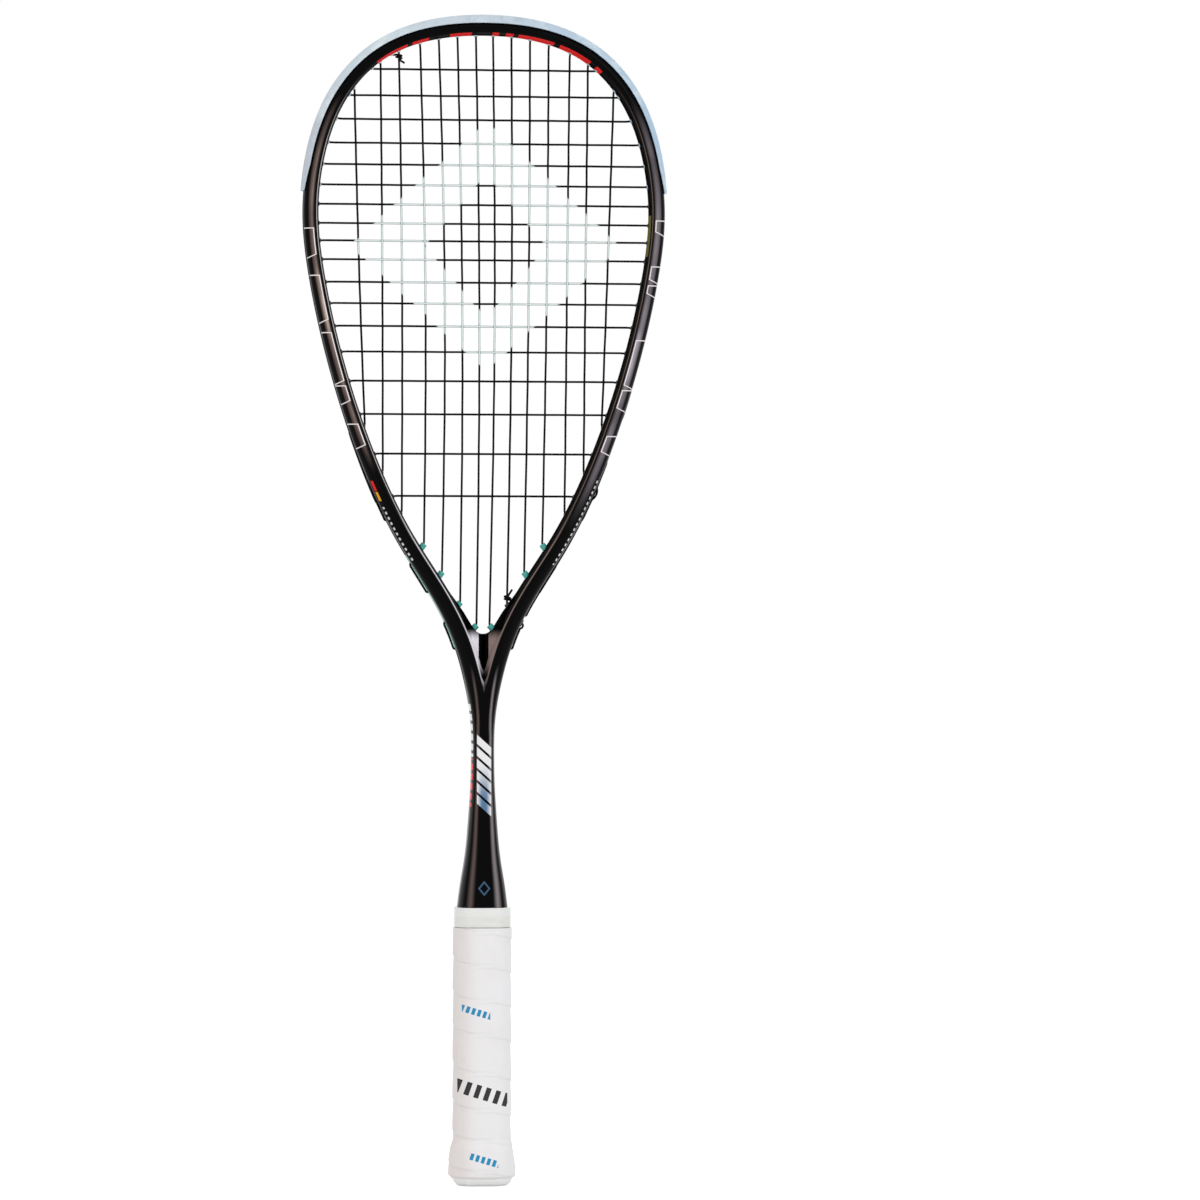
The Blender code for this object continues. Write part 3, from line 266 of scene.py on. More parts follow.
class Place:
    """A place on the rail: along is the distance from the crown, negative on the left half."""

    def __init__(self, along):
        self.along = along
        self.side = -1.0 if along < 0 else 1.0
        x, z, self.width, self.depth, self.groove = station_at(abs(along))
        merged = max(0.0, 1 - x / CREST_REACH) if z < THROAT_Z else 0.0
        self.crest = ARM_CREST + (SHAFT_CREST - ARM_CREST) * merged
        run = station_at(abs(along) + 0.05)[:2] - station_at(abs(along) - 0.05)[:2]
        run /= np.hypot(*run)
        self.middle = np.array((self.side * x, z))
        self.outward = np.array((-self.side * run[1], run[0]))

    def point(self, out, depth):
        x, z = self.middle + self.outward * out
        return Vector((x, depth, z))

    @property
    def floor(self):
        return self.width / 2 - self.groove + GAP

    @property
    def string_level(self):
        return self.floor + BASE_THICKNESS + GAP + STRING_RADIUS


def mirrored(half):
    """An outline, (outward, depth), whose rear half repeats the given front one."""
    return half + tuple((out, -side) for out, side in reversed(half))


def shoulder(width, depth, crest):
    r, h = width / 2, depth / 2
    return (
        (crest * r, 1.0 * h),
        ((0.45 * crest + 0.55) * r, 0.83 * h),
        (0.93 * r, 0.55 * h),
        (r, GROOVE_HALF),
    )


def tube_section(width, depth, groove, crest):
    """Rounded outline of the tube, (outward, depth): broad curves on the face, tight ones at the groove."""
    r, h = width / 2, depth / 2
    bevel = ((-r, 0.42 * h), (-0.88 * r, 0.74 * h), (-0.56 * r, 0.98 * h))
    floor = ((r - groove, GROOVE_HALF - GROOVE_TAPER),)
    half = bevel + shoulder(width, depth, crest) + floor
    shares = (0.45, 0.45, 0.30, 0.42, 0.42, 0.42, 0.22, 0.20)
    return rounded(mirrored(half), shares + shares[::-1])


def steps(start, end, step):
    return np.linspace(start, end, max(1, math.ceil(abs(end - start) / step)) + 1)


# ------------------------------------------------------------------------------ string holes
def find_along(reach, wanted, low, high):
    rising = reach(high) > reach(low)
    for _ in range(50):
        middle = (low + high) / 2
        if (reach(middle) < wanted) == rising:
            low = middle
        else:
            high = middle
    return (low + high) / 2


class Hole:
    def __init__(self, along, proud=BARREL_PROUD, lean=0.0, radius=BARREL_RADIUS):
        self.place = Place(along)
        self.along = along
        self.proud = proud
        self.radius = radius
        self.lift = 0.0
        way = self.place.outward * (1 - lean) + np.array((0.0, -1.0)) * lean
        way /= np.hypot(*way)
        self.stretch = 1.0 / float(way @ self.place.outward)
        self.way = way

    def at(self, out):
        x, z = self.place.middle + self.way * out * self.stretch
        return Vector((x, 0.0, z))

    def exit_along(self):
        rail = np.array((self.place.outward[1], -self.place.outward[0]))
        return self.along + float(self.way @ rail) * self.stretch * self.place.string_level

    def mouth_out(self):
        return -self.place.width / 2 - self.proud

    def turn_in(self):
        return self.at(self.mouth_out() - MOUTH)


def main_hole(side, index, top):
    if top:
        make, wanted, low, high = Hole, MAIN_TOPS[index], 0.0, WIDEST
    else:
        wanted, low, high = MAIN_BOTTOMS[index], WIDEST, TUBE_END

        def make(along):
            if index >= THROAT_MAINS:
                return Hole(along)
            return Hole(along, THROAT_BARREL_PROUDS[index], THROAT_LEAN, THROAT_BARREL_RADIUS)

    def reach(along):
        hole = make(along)
        return hole.at(hole.mouth_out()).x

    return make(side * find_along(reach, wanted * HEAD_HALF_WIDTH, low, high))


def cross_hole(side, height):
    def reach(along):
        hole = Hole(along)
        return hole.at(hole.mouth_out()).z

    return Hole(side * find_along(reach, THROAT_Z + height * HEAD_LENGTH, 0.0, TUBE_END))


WIDEST = KNOTS[int(STATIONS[:, 0].argmax())]
BUMPER_END_Z = THROAT_Z + BUMPER_END_SHARE * HEAD_LENGTH
BUMPER_END = find_along(lambda along: Place(along).middle[1], BUMPER_END_Z, 0.0, TUBE_END)
THROAT_MAINS = len(THROAT_BARREL_PROUDS)
LEFT, RIGHT = -1, 1
TOP = {side: [main_hole(side, i, True) for i in range(MAINS)] for side in (LEFT, RIGHT)}
BOTTOM = {side: [main_hole(side, i, False) for i in range(MAINS)] for side in (LEFT, RIGHT)}
ENDS = {side: [cross_hole(side, height) for height in CROSSES] for side in (LEFT, RIGHT)}
KNOTTED_TOP, KNOTTED_BOTTOM = 4, 1
KNOTTED = BOTTOM[RIGHT][KNOTTED_BOTTOM]
TOP_TIE = Hole(TOP[LEFT][KNOTTED_TOP].along - TIE_OFF_SPACING)
BOTTOM_TIE = Hole(KNOTTED.along - TIE_OFF_SPACING, BARREL_PROUD, THROAT_LEAN, BARREL_RADIUS)
KNOTTED.proud = KNOTTED_PROUD
KNOTTED.lift = GAP + TIE_OFF_FLANGE_THICKNESS
ALL_HOLES = [h for holes in (TOP, BOTTOM, ENDS) for side in (LEFT, RIGHT) for h in holes[side]]
ALL_HOLES += [TOP_TIE, BOTTOM_TIE]


# ------------------------------------------------------------------------------ the string's route
def lane_stops(start, end, lane):
    forward = 1.0 if end.along > start.along else -1.0
    leave, arrive = start.exit_along(), end.exit_along()
    first, last = leave + forward * SETTLE, arrive - forward * SETTLE
    if forward * (last - first) < SHORT_RUN:
        return [((leave + arrive) / 2, lane, 0.0)]
    return [(along, lane, 0.0) for along in steps(first, last, LANE_STEP)]


def swap_stops(start, end, over):
    begin = ENDS[RIGHT][-1].along - SETTLE + SWAP_MARGINS[0]
    finish_at = BOTTOM[RIGHT][MAINS - 2].along + SETTLE + SWAP_MARGINS[1]
    swap = []
    for share in (0.0, 0.25, 0.5, 0.75, 1.0):
        along = begin + (finish_at - begin) * share
        if over:
            swap.append((along, LANE * (share - 1.0), CLIMB * math.sin(math.pi * share) ** CLIMB_POWER))
        else:
            swap.append((along, -LANE * share, 0.0))
    if over:
        stops = [(BOTTOM[RIGHT][MAINS - 3].along - SETTLE, -LANE, 0.0)] + swap
    else:
        stops = swap + [(ENDS[RIGHT][-2].along + SETTLE, -LANE, 0.0)]
    forward = 1.0 if end.along > start.along else -1.0
    return sorted(stops, key=lambda stop: forward * stop[0])


def turn_out(hole, forward, lane):
    points = [hole.at(hole.place.string_level + hole.lift - TURN_DEPTH)]
    for reach in (TURN_REACH, TIE_OFF_FLANGE + 0.4) if hole.lift else (TURN_REACH,):
        place = Place(hole.exit_along() + forward * reach)
        points.append(place.point(place.string_level + hole.lift, lane * 0.3))
    return points


def outside_run(start, end, stops):
    forward = 1.0 if end.along > start.along else -1.0
    points = turn_out(start, forward, stops[0][1])
    for along, lane, climb in stops:
        place = Place(along)
        points.append(place.point(place.string_level + climb, lane))
    return points + turn_out(end, -forward, stops[-1][1])[::-1]


def lane_run(start, end, lane):
    return outside_run(start, end, lane_stops(start, end, lane))


def crossing_side(main_number, cross_number):
    return 1.0 if (main_number + cross_number) % 2 == 0 else -1.0


def main_number(side, index):
    return MAINS - index if side == LEFT else MAINS + 1 + index


def main_line(side, index):
    return TOP[side][index].turn_in(), BOTTOM[side][index].turn_in()


def cross_line(number):
    return ENDS[LEFT][number - 1].turn_in(), ENDS[RIGHT][number - 1].turn_in()


def meet(side, index, number):
    """Where a main and a cross pass each other in the plane, or None."""
    (top, bottom), (left, right) = main_line(side, index), cross_line(number)
    bow = BOWS[main_number(side, index) - 1]
    t = (top.z - (left.z + right.z) / 2) / (top.z - bottom.z)
    x = top.x + (bottom.x - top.x) * t + bow * math.sin(math.pi * t)
    z = left.z + (right.z - left.z) * (x - left.x) / (right.x - left.x)
    low, high = bottom.z + EDGE_MARGIN, top.z - EDGE_MARGIN
    inside = low < z < high and left.x + EDGE_MARGIN < x < right.x - EDGE_MARGIN
    return (x, z) if inside else None


def lean(points):
    points[0].y = math.copysign(TURN_LEAN, points[1].y)
    points[-1].y = math.copysign(TURN_LEAN, points[-2].y)


def main_points(side, index, downward, straight_at=None):
    top, bottom = main_line(side, index)
    points = [top]
    for number in range(1, len(CROSSES) + 1):
        found = meet(side, index, number)
        if found:
            depth = WEAVE * crossing_side(main_number(side, index), number)
            points.append(Vector((found[0], depth, found[1])))
    points.append(bottom)
    lean(points)
    if straight_at is not None:
        end, nearest = (top, points[1]) if straight_at > bottom.z + 100 else (bottom, points[-2])
        x = end.x + (nearest.x - end.x) * (straight_at - end.z) / (nearest.z - end.z)
        points.insert(1 if end is top else len(points) - 1, Vector((x, nearest.y, straight_at)))
    return points if downward else points[::-1]


def cross_points(number, rightward):
    left, right = cross_line(number)
    points = [left]
    for side in (LEFT, RIGHT):
        for index in range(MAINS - 1, -1, -1) if side == LEFT else range(MAINS):
            found = meet(side, index, number)
            if found:
                depth = -WEAVE * crossing_side(main_number(side, index), number)
                points.append(Vector((found[0], depth, found[1])))
    points.append(right)
    lean(points)
    return points if rightward else points[::-1]


def knot_points(axis_x, axis_y, base_z, start_angle, climb, tail_way):
    points = []
    for i in range(round(KNOT_TURNS * KNOT_POINTS) + 1):
        angle = start_angle + 2 * math.pi * i / KNOT_POINTS
        x = axis_x + KNOT_RADIUS * math.cos(angle)
        y = axis_y + KNOT_RADIUS * math.sin(angle)
        points.append(Vector((x, y, base_z + climb * KNOT_RISE * i / KNOT_POINTS)))
    points.append(points[-1] + tail_way.normalized() * TAIL)
    return points


def string_route():
    bottom_main = main_line(RIGHT, KNOTTED_BOTTOM)
    top_main = main_line(LEFT, KNOTTED_TOP)
    low_z, high_z = bottom_main[1].z + KNOT_FROM_MOUTH, top_main[0].z - KNOT_FROM_MOUTH
    low_side = crossing_side(main_number(RIGHT, KNOTTED_BOTTOM), len(CROSSES))
    high_side = crossing_side(main_number(LEFT, KNOTTED_TOP), 1)
    lower_knot = knot_points(
        bottom_main[1].x + 0.2, WEAVE * low_side, low_z - 1.0, 0.0, 1.0, Vector((1.5, -0.3, 2.4))
    )
    upper_knot = knot_points(
        top_main[0].x, WEAVE * high_side, high_z + 1.6, math.pi, -1.0, Vector((1.6, -0.3, -1.0))
    )
    route = lower_knot[::-1] + [BOTTOM_TIE.turn_in()]
    route += lane_run(BOTTOM_TIE, BOTTOM[RIGHT][MAINS - 1], LANE)
    route += main_points(RIGHT, MAINS - 1, downward=False)
    mains = [(RIGHT, index) for index in reversed(range(MAINS))] + [(LEFT, index) for index in range(MAINS)]
    lanes = {(RIGHT, MAINS - 2): LANE, (LEFT, MAINS - 2): -LANE, (LEFT, MAINS - 1): LANE}
    straight_at = {
        (RIGHT, KNOTTED_BOTTOM): low_z - STRAIGHT_FROM_KNOT,
        (LEFT, KNOTTED_TOP): high_z + STRAIGHT_FROM_KNOT,
    }
    for number, (last, main) in enumerate(zip(mains, mains[1:])):
        downward = number % 2 == 0
        row = TOP if downward else BOTTOM
        start, end = (row[side][index] for side, index in (last, main))
        if main == (RIGHT, MAINS - 3):
            route += outside_run(start, end, swap_stops(start, end, over=True))
        else:
            route += lane_run(start, end, lanes.get(main, 0.0))
        route += main_points(*main, downward, straight_at.get(main))
    previous = BOTTOM[LEFT][MAINS - 1]
    for number in range(len(CROSSES), 0, -1):
        rightward = number % 2 == 0
        near = LEFT if rightward else RIGHT
        end = ENDS[near][number - 1]
        if number == len(CROSSES) - 1:
            route += outside_run(previous, end, swap_stops(previous, end, over=False))
        else:
            route += lane_run(previous, end, LANE if number == len(CROSSES) else -LANE)
        route += cross_points(number, rightward)
        previous = ENDS[-near][number - 1]
    route += lane_run(previous, TOP_TIE, -LANE)
    return route + [TOP_TIE.turn_in()] + upper_knot


def bent_path(points):
    """The taut string's line: straight from bend to bend, and each bend a small curve."""
    points = np.array(points)
    result = [points[0]]
    for before, corner, after in zip(points, points[1:], points[2:]):
        back, ahead = before - corner, after - corner
        lengths = np.linalg.norm(back), np.linalg.norm(ahead)
        gentle = back @ ahead < GENTLE_COSINE * lengths[0] * lengths[1]
        reach = min(CROSSING_REACH if gentle else BEND_REACH, BEND_SHARE * min(lengths))
        result += bend(corner, back, ahead, lengths, reach, BEND_POINTS)
    return np.array(result + [points[-1]])


def tube_rings(path, radius, sides):
    """Round rings along a path, with no twist from one to the next, and the distance of each."""
    tangents = np.gradient(path, axis=0)
    tangents /= np.linalg.norm(tangents, axis=1)[:, None]
    normal = np.cross(tangents[0], (0.0, 1.0, 0.3))
    rings = []
    angles = np.linspace(0, 2 * math.pi, sides, endpoint=False)
    for centre, tangent in zip(path, tangents):
        normal = normal - tangent * (normal @ tangent)
        normal /= np.linalg.norm(normal)
        side = np.cross(tangent, normal)
        rings.append(centre + radius * (np.outer(np.cos(angles), normal) + np.outer(np.sin(angles), side)))
    distance = np.concatenate([[0.0], np.cumsum(np.linalg.norm(np.diff(path, axis=0), axis=1))])
    return rings, distance


# ------------------------------------------------------------------------------ materials
class Nodes:
    """A node tree: its helpers return sockets, and take sockets or plain values."""

    def __init__(self, tree):
        self.tree = tree

    def feed(self, value, socket):
        if isinstance(value, bpy.types.NodeSocket):
            self.tree.links.new(value, socket)
            return
        if isinstance(value, tuple) and len(value) == 3 and len(socket.default_value) == 4:
            value = (*value, 1.0)
        socket.default_value = value

    def fill(self, node, **values):
        for name, value in values.items():
            self.feed(value, node.inputs[name.replace("_", " ")])

    def add(self, kind, *values, **settings):
        node = self.tree.nodes.new(kind)
        for key, value in settings.items():
            setattr(node, key, value)
        for value, socket in zip(values, node.inputs):
            self.feed(value, socket)
        return node

    def math(self, operation, *values, clamp=False):
        return self.add("ShaderNodeMath", *values, operation=operation, use_clamp=clamp).outputs[0]

    def chain(self, operation, first, *others):
        for other in others:
            first = self.math(operation, first, other)
        return first

    def times(self, *values):
        return self.chain("MULTIPLY", *values)

    def most(self, *values):
        return self.chain("MAXIMUM", *values)

    def over(self, value, limit):
        return self.math("GREATER_THAN", value, limit)

    def under(self, value, limit):
        return self.math("LESS_THAN", value, limit)

    def away(self, value, middle):
        return self.math("ABSOLUTE", self.math("SUBTRACT", value, middle))

    def tilted(self, value, other, slope):
        return self.math("ADD", value, self.times(other, slope))

    def wave(self, value, length):
        return self.math("SINE", self.times(value, 2 * math.pi / length))

    def diamond(self, across, up, half_width, half_height):
        """1 on a diamond's outline and less inside it, from the distances to its middle."""
        return self.math("ADD", self.times(across, 1 / half_width), self.times(up, 1 / half_height))

    def remap(self, value, reach, to):
        return self.add("ShaderNodeMapRange", value, *reach, *to).outputs[0]

    def step(self, value, low, high):
        """0 below low and 1 above high, or the other way round where high is less."""
        node = self.add("ShaderNodeMapRange", value, low, high, 0.0, 1.0, interpolation_type="SMOOTHSTEP")
        return node.outputs[0]

    def band(self, value, low, high, soft):
        rise = self.step(value, low - soft, low + soft)
        return self.times(rise, self.step(value, high + soft, high - soft))

    def within(self, value, low, high):
        return self.math("COMPARE", value, (low + high) / 2, (high - low) / 2)

    def mix(self, share, first, second):
        node = self.add("ShaderNodeMix", data_type="RGBA")
        for value, socket in ((share, "Factor"), (first, 6), (second, 7)):  # 6 and 7 are the two colours
            self.feed(value, node.inputs[socket])
        return node.outputs[2]


class Finish(Nodes):
    """A material on object coordinates, in metres; its colours are laid one over the other."""

    def __init__(self, name, roughness, **sockets):
        self.material = bpy.data.materials.new(name)
        self.material.use_nodes = True
        super().__init__(self.material.node_tree)
        self.shader = self.tree.nodes["Principled BSDF"]
        self.fill(self.shader, Roughness=roughness, **sockets)
        self.where = self.add("ShaderNodeTexCoord").outputs["Object"]
        self.x, self.y, self.z = self.add("ShaderNodeSeparateXYZ", self.where).outputs[:3]
        self.top = BLACK

    def set(self, socket, value):
        self.feed(value, self.shader.inputs[socket])

    def uv(self):
        where = self.add("ShaderNodeTexCoord").outputs["UV"]
        return self.add("ShaderNodeSeparateXYZ", where).outputs[:2]

    def rows(self, top, bottom):
        """1 between two rows of the view."""
        return self.within(self.z, height_of(bottom), height_of(top))

    def noise(self, scale, detail=2.0, roughness=0.5, stretch=None):
        where = self.where
        if stretch:
            where = self.add("ShaderNodeVectorMath", where, stretch, operation="MULTIPLY").outputs[0]
        node = self.add("ShaderNodeTexNoise")
        self.fill(node, Vector=where, Scale=scale, Detail=detail, Roughness=roughness)
        return node.outputs["Fac"]

    def coat(self, mask, color):
        self.top = self.mix(mask, self.top, color)

    def vary_roughness(self, value, low, high):
        self.set("Roughness", self.remap(value, (0.3, 0.7), (low, high)))

    def bump(self, height, distance, strength=0.5):
        node = self.add("ShaderNodeBump")
        self.fill(node, Strength=strength, Distance=distance, Height=height)
        self.set("Normal", node.outputs[0])

    def finished(self):
        self.set("Base Color", self.top)
        return self.material


# Colours, linear
BLACK = (0.0015, 0.0015, 0.0018)
# Painted highlights on the black lacquer: the copper sheen painted on the left faces and the mauve one on
# the right, with their brighter parts.
HIGHLIGHT_COPPER, HIGHLIGHT_COPPER_BRIGHT = (0.135, 0.092, 0.082), (0.46, 0.37, 0.32)
HIGHLIGHT_MAUVE, HIGHLIGHT_MAUVE_BRIGHT = (0.185, 0.160, 0.180), (0.38, 0.36, 0.41)
# Painted light on the web between the arms, mauve on the left and copper on the right; the arms' painted
# highlight lines take the same colours.
WEB_HIGHLIGHT_MAUVE, WEB_HIGHLIGHT_COPPER = (0.86, 0.82, 0.88), (0.25, 0.185, 0.17)
# Painted highlight along the inner edge of the hoop's faces, pale on the left and copper on the right.
RIDGE_HIGHLIGHT_PALE, RIDGE_HIGHLIGHT_COPPER = (0.60, 0.57, 0.56), (0.17, 0.115, 0.095)
# Painted highlight lines down the shaft's crests, copper on the left and mauve on the right.
CREST_HIGHLIGHT_COPPER, CREST_HIGHLIGHT_MAUVE = (0.125, 0.090, 0.082), (0.27, 0.24, 0.25)
LINE_WHITE, OLIVE = (0.80, 0.74, 0.75), (0.17, 0.16, 0.045)
PRINT_RED, PRINT_AMBER = (0.78, 0.020, 0.018), (0.75, 0.36, 0.02)
PRINT_WHITE, PRINT_BLUE, LOZENGE_BLUE = (0.82, 0.82, 0.83), (0.10, 0.20, 0.34), (0.05, 0.11, 0.19)
BUMPER_GREY, BUMPER_BLUE, BUMPER_LILAC = (0.56, 0.645, 0.71), (0.40, 0.54, 0.68), (0.40, 0.39, 0.47)
BUMPER_STREAK, BUMPER_SCUFF = (0.76, 0.85, 0.87), (0.30, 0.31, 0.34)
GROMMET_BLACK, GROMMET_TEAL, CAP_WHITE = (0.012, 0.012, 0.013), (0.05, 0.40, 0.35), (0.86, 0.86, 0.85)
STRING_DARK, STRING_LIGHT = (0.002, 0.002, 0.002), (0.006, 0.006, 0.006)
# The first stencil colour is painted shade: grey-cyan where the string turns away to its sides.
STENCIL_EDGE_SHADE, STENCIL_WHITE = (0.18, 0.28, 0.29), (0.76, 0.82, 0.82)
# The first grip colour is painted shade: the left side of the grip warmer and darker.
GRIP_SHADE_WARM, GRIP_WHITE, GRIP_MARK = (0.78, 0.73, 0.72), (0.84, 0.83, 0.84), (0.70, 0.67, 0.66)
GRIP_BLUE, GRIP_BLACK = (0.008, 0.25, 0.48), (0.012, 0.012, 0.013)
BAND_GREY, BAND_PALE, BAND_EDGE = (0.70, 0.70, 0.67), (0.80, 0.80, 0.77), (0.84, 0.85, 0.85)
FOAM_DARK, FOAM_PALE = (0.34, 0.31, 0.26), (0.52, 0.49, 0.42)
STEEL_DARK, STEEL_PALE = (0.46, 0.46, 0.48), (0.66, 0.66, 0.68)
FLOOR_DARK, FLOOR_PALE = (0.80, 0.80, 0.80), (0.82, 0.82, 0.82)

# Plain marks on the frame, by rows and columns of the view: open boxes on the hoop's faces (top and
# bottom rows at the inner line), dashes round the crown's inner wall, and rows of small ticks on the arms.
BOXES = {
    LEFT: ((230, 257), (277, 322), (334, 383), (387, 403), (425, 447)),
    RIGHT: ((220, 232), (266, 280), (285, 294), (340, 386), (390, 409), (436, 453)),
}
BOX_SHARES, BOX_SLANT, BOX_STROKE = {LEFT: 0.37, RIGHT: 0.33}, 0.47, 0.00065
DASHES = {
    LEFT: ((371, 403), (408, 425), (447, 469)),
    RIGHT: ((490, 497), (504, 512), (517, 554), (560, 592), (598, 604)),
}
TICKS, TICK_SPACING = ((LEFT, 508, 562), (RIGHT, 478, 565)), 0.0034
BAR_HEIGHTS, BAR_HALF, BAR_SLANT = (257.5, 250.5, 243.5, 236.5, 229.5, 222.5), 2.6, 0.9
LOZENGE_ROW, LOZENGE_HALVES = 888, (0.0036, 0.0044)

# Places on the frame: metres, and shares across the tube from its inner wall (0) to its outer one (1)
FACE_DEPTH, FACE_WIDTH = 0.0042, 0.0092
INNER_WALL = 0.15

# The stencil on the strings: its middle, and half width and height of its outline and its hole, in metres
STENCIL_MIDDLE, STENCIL_HALVES = (0.0011, 0.5502), ((0.080, 0.073), (0.036, 0.042))
STRING_TWISTS = 420.0  # per metre

# Rows of strokes on the grip: lower and upper row of the view in the middle, first and last column,
# stroke and space in metres, colour.
GRIP_PRINT = (
    (1017, 1010, 461, 489, 0.0022, 0.0014, GRIP_BLUE),
    (1099, 1085, 457, 507, 0.0032, 0.0030, GRIP_BLACK),
    (1162, 1155, 468, 497, 0.0022, 0.0014, GRIP_BLUE),
)


def height_of(row):
    return (BUTT_PX - row) * MM_PER_PX * MM


def across_of(column):
    return (column - AXIS_PX) * MM_PER_PX


def along_of(row):
    """Distance from the crown of the hoop's place at a row of the view."""
    return find_along(lambda along: Place(along).middle[1] * MM, height_of(row), 0.0, TUBE_END)


def along_of_column(column):
    return find_along(lambda along: Place(along).middle[0], abs(across_of(column)), 0.0, WIDEST)


def open_boxes(n, share, side):
    """Outlined boxes that run from a line on the face out over the edge; their lower ends slant."""
    inner_share, slant = BOX_SHARES[side], BOX_SLANT * side
    slanted = n.tilted(n.z, n.x, slant)
    outer, inner = [], []
    for top, bottom in BOXES[side]:
        corner = Place(side * along_of(bottom)).point((inner_share * 2 - 1) * TUBE_WIDTH / 2, 0.0) * MM
        low = corner.z + slant * corner.x
        for found, edge in ((outer, 0.0), (inner, BOX_STROKE)):
            found.append(n.times(n.under(n.z, height_of(top) - edge), n.over(slanted, low + edge)))
    wide = n.times(n.most(*outer), n.over(share, inner_share))
    narrow = n.times(n.most(*inner), n.over(share, inner_share + BOX_STROKE / FACE_WIDTH))
    return n.math("SUBTRACT", wide, narrow, clamp=True)


def hoop_painted_highlights(n, share, sides, broad):
    """Painted highlights: a copper sheen painted on the left face and a mauve one on the right, and a
    painted highlight line along their inner edge.
    """
    # Painted highlights: noise makes the sheen brighter and weaker in patches and adds glints, and a band
    # across each face is drawn brighter.
    patch = n.noise(26.0, stretch=(1.0, 1.0, 0.8))
    glow = n.remap(patch, (0.36, 0.64), (0.45, 1.25))
    light = n.most(n.times(n.band(share, 0.44, 0.52, 0.10), 0.45), n.step(patch, 0.50, 0.66))
    below_bumper = n.step(n.z, 0.640, 0.590)
    for side, face, lit, low_end, highlight_tones in (
        (LEFT, (0.38, 0.66), (0.40, 0.56), (0.415, 0.448), (HIGHLIGHT_COPPER, HIGHLIGHT_COPPER_BRIGHT)),
        (RIGHT, (0.32, 0.68), (0.36, 0.56), (0.380, 0.440), (HIGHLIGHT_MAUVE, HIGHLIGHT_MAUVE_BRIGHT)),
    ):
        highlight_tone = n.mix(n.times(light, n.band(share, *lit, 0.07)), *highlight_tones)
        reach = n.times(n.band(share, *face, 0.08), sides[side], below_bumper, broad, n.step(n.z, *low_end))
        n.coat(n.times(reach, glow), highlight_tone)
    # A painted highlight line along the faces' inner edge.
    ridge_highlight = n.times(n.band(share, 0.135, 0.185, 0.015), n.step(n.z, 0.360, 0.400), n.step(n.z, 0.655, 0.600))
    n.coat(n.times(ridge_highlight, broad, 0.9), n.mix(sides[RIGHT], RIDGE_HIGHLIGHT_PALE, RIDGE_HIGHLIGHT_COPPER))


def throat_painted_highlights(n, share, right, broad):
    """Painted highlights: the light lines of the arms, painted light on the web between them, and the
    highlight lines on the crests that run down the shaft.
    """
    # Painted light: the arms' highlight lines and the lit faces of the web, mauve on the left and copper on
    # the right.
    highlight_tone = n.mix(right, WEB_HIGHLIGHT_MAUVE, WEB_HIGHLIGHT_COPPER)
    arm = n.times(n.step(n.z, 0.400, 0.372), n.step(n.z, 0.286, 0.306))
    n.coat(n.times(n.band(share, 0.165, 0.225, 0.022), arm, broad, 0.85), highlight_tone)
    web = n.times(n.step(n.z, 0.326, 0.319), n.step(n.z, 0.298, 0.309), n.step(share, 0.225, 0.15))
    n.coat(n.times(web, broad), highlight_tone)
    shift = n.remap(n.z, (0.262, 0.300), (0.0, 0.22))
    # Painted highlight lines that run down the shaft's crests.
    crest = n.times(n.band(n.math("ADD", share, shift), 0.74, 0.83, 0.055), n.step(n.z, 0.306, 0.290))
    n.coat(n.times(crest, broad, 0.85), n.mix(right, CREST_HIGHLIGHT_COPPER, CREST_HIGHLIGHT_MAUVE))


def head_marks(n, along, share, sides, broad):
    boxes = [n.times(open_boxes(n, share, side), sides[side]) for side in (LEFT, RIGHT)]
    n.coat(n.times(n.most(*boxes), broad), LINE_WHITE)
    dashes = []
    for side, spans in DASHES.items():
        reaches = [sorted(along_of_column(column) * MM for column in span) for span in spans]
        dashes += [n.times(n.within(along, *reach), sides[side]) for reach in reaches]
    n.coat(n.times(n.most(*dashes), n.under(share, INNER_WALL)), PRINT_RED)
    n.coat(n.times(n.rows(215, 256), sides[RIGHT], n.under(share, 0.06), 0.8), OLIVE)
    stripe = n.times(n.within(share, 0.78, 0.90), sides[LEFT], broad)
    n.coat(n.times(stripe, n.rows(482, 492)), PRINT_RED)
    n.coat(n.times(stripe, n.rows(493, 502)), PRINT_AMBER)
    beat = n.over(n.wave(along, TICK_SPACING), 0.1)
    for side, top, bottom in TICKS:
        ticks = n.times(n.rows(top, bottom), n.within(share, 0.80, 0.89), beat, broad, sides[side])
        n.coat(n.times(ticks, 0.8), PRINT_WHITE)


def shaft_marks(n, share, left, broad):
    slanted = n.tilted(n.z, n.x, BAR_SLANT)
    bars = [n.within(slanted, (height - BAR_HALF) * MM, (height + BAR_HALF) * MM) for height in BAR_HEIGHTS]
    fade = n.times(n.step(n.z, 0.250, 0.225), n.step(n.away(n.x, 0.0), 0.0046, 0.0010))
    bar = n.times(n.most(*bars), n.within(n.x, -0.0042, 0.0042), broad)
    n.coat(bar, n.mix(fade, PRINT_WHITE, PRINT_BLUE))
    side_wall = n.times(n.over(share, 0.965), left, n.over(n.wave(n.z, 0.0058), -0.5))
    n.coat(n.times(side_wall, n.rows(702, 757)), PRINT_WHITE)
    n.coat(n.times(side_wall, n.rows(759, 807)), PRINT_RED)
    lozenge = n.diamond(n.away(n.x, 0.0), n.away(n.z, height_of(LOZENGE_ROW)), *LOZENGE_HALVES)
    n.coat(n.times(n.within(lozenge, 0.68, 1.0), n.under(n.y, 0.0)), LOZENGE_BLUE)


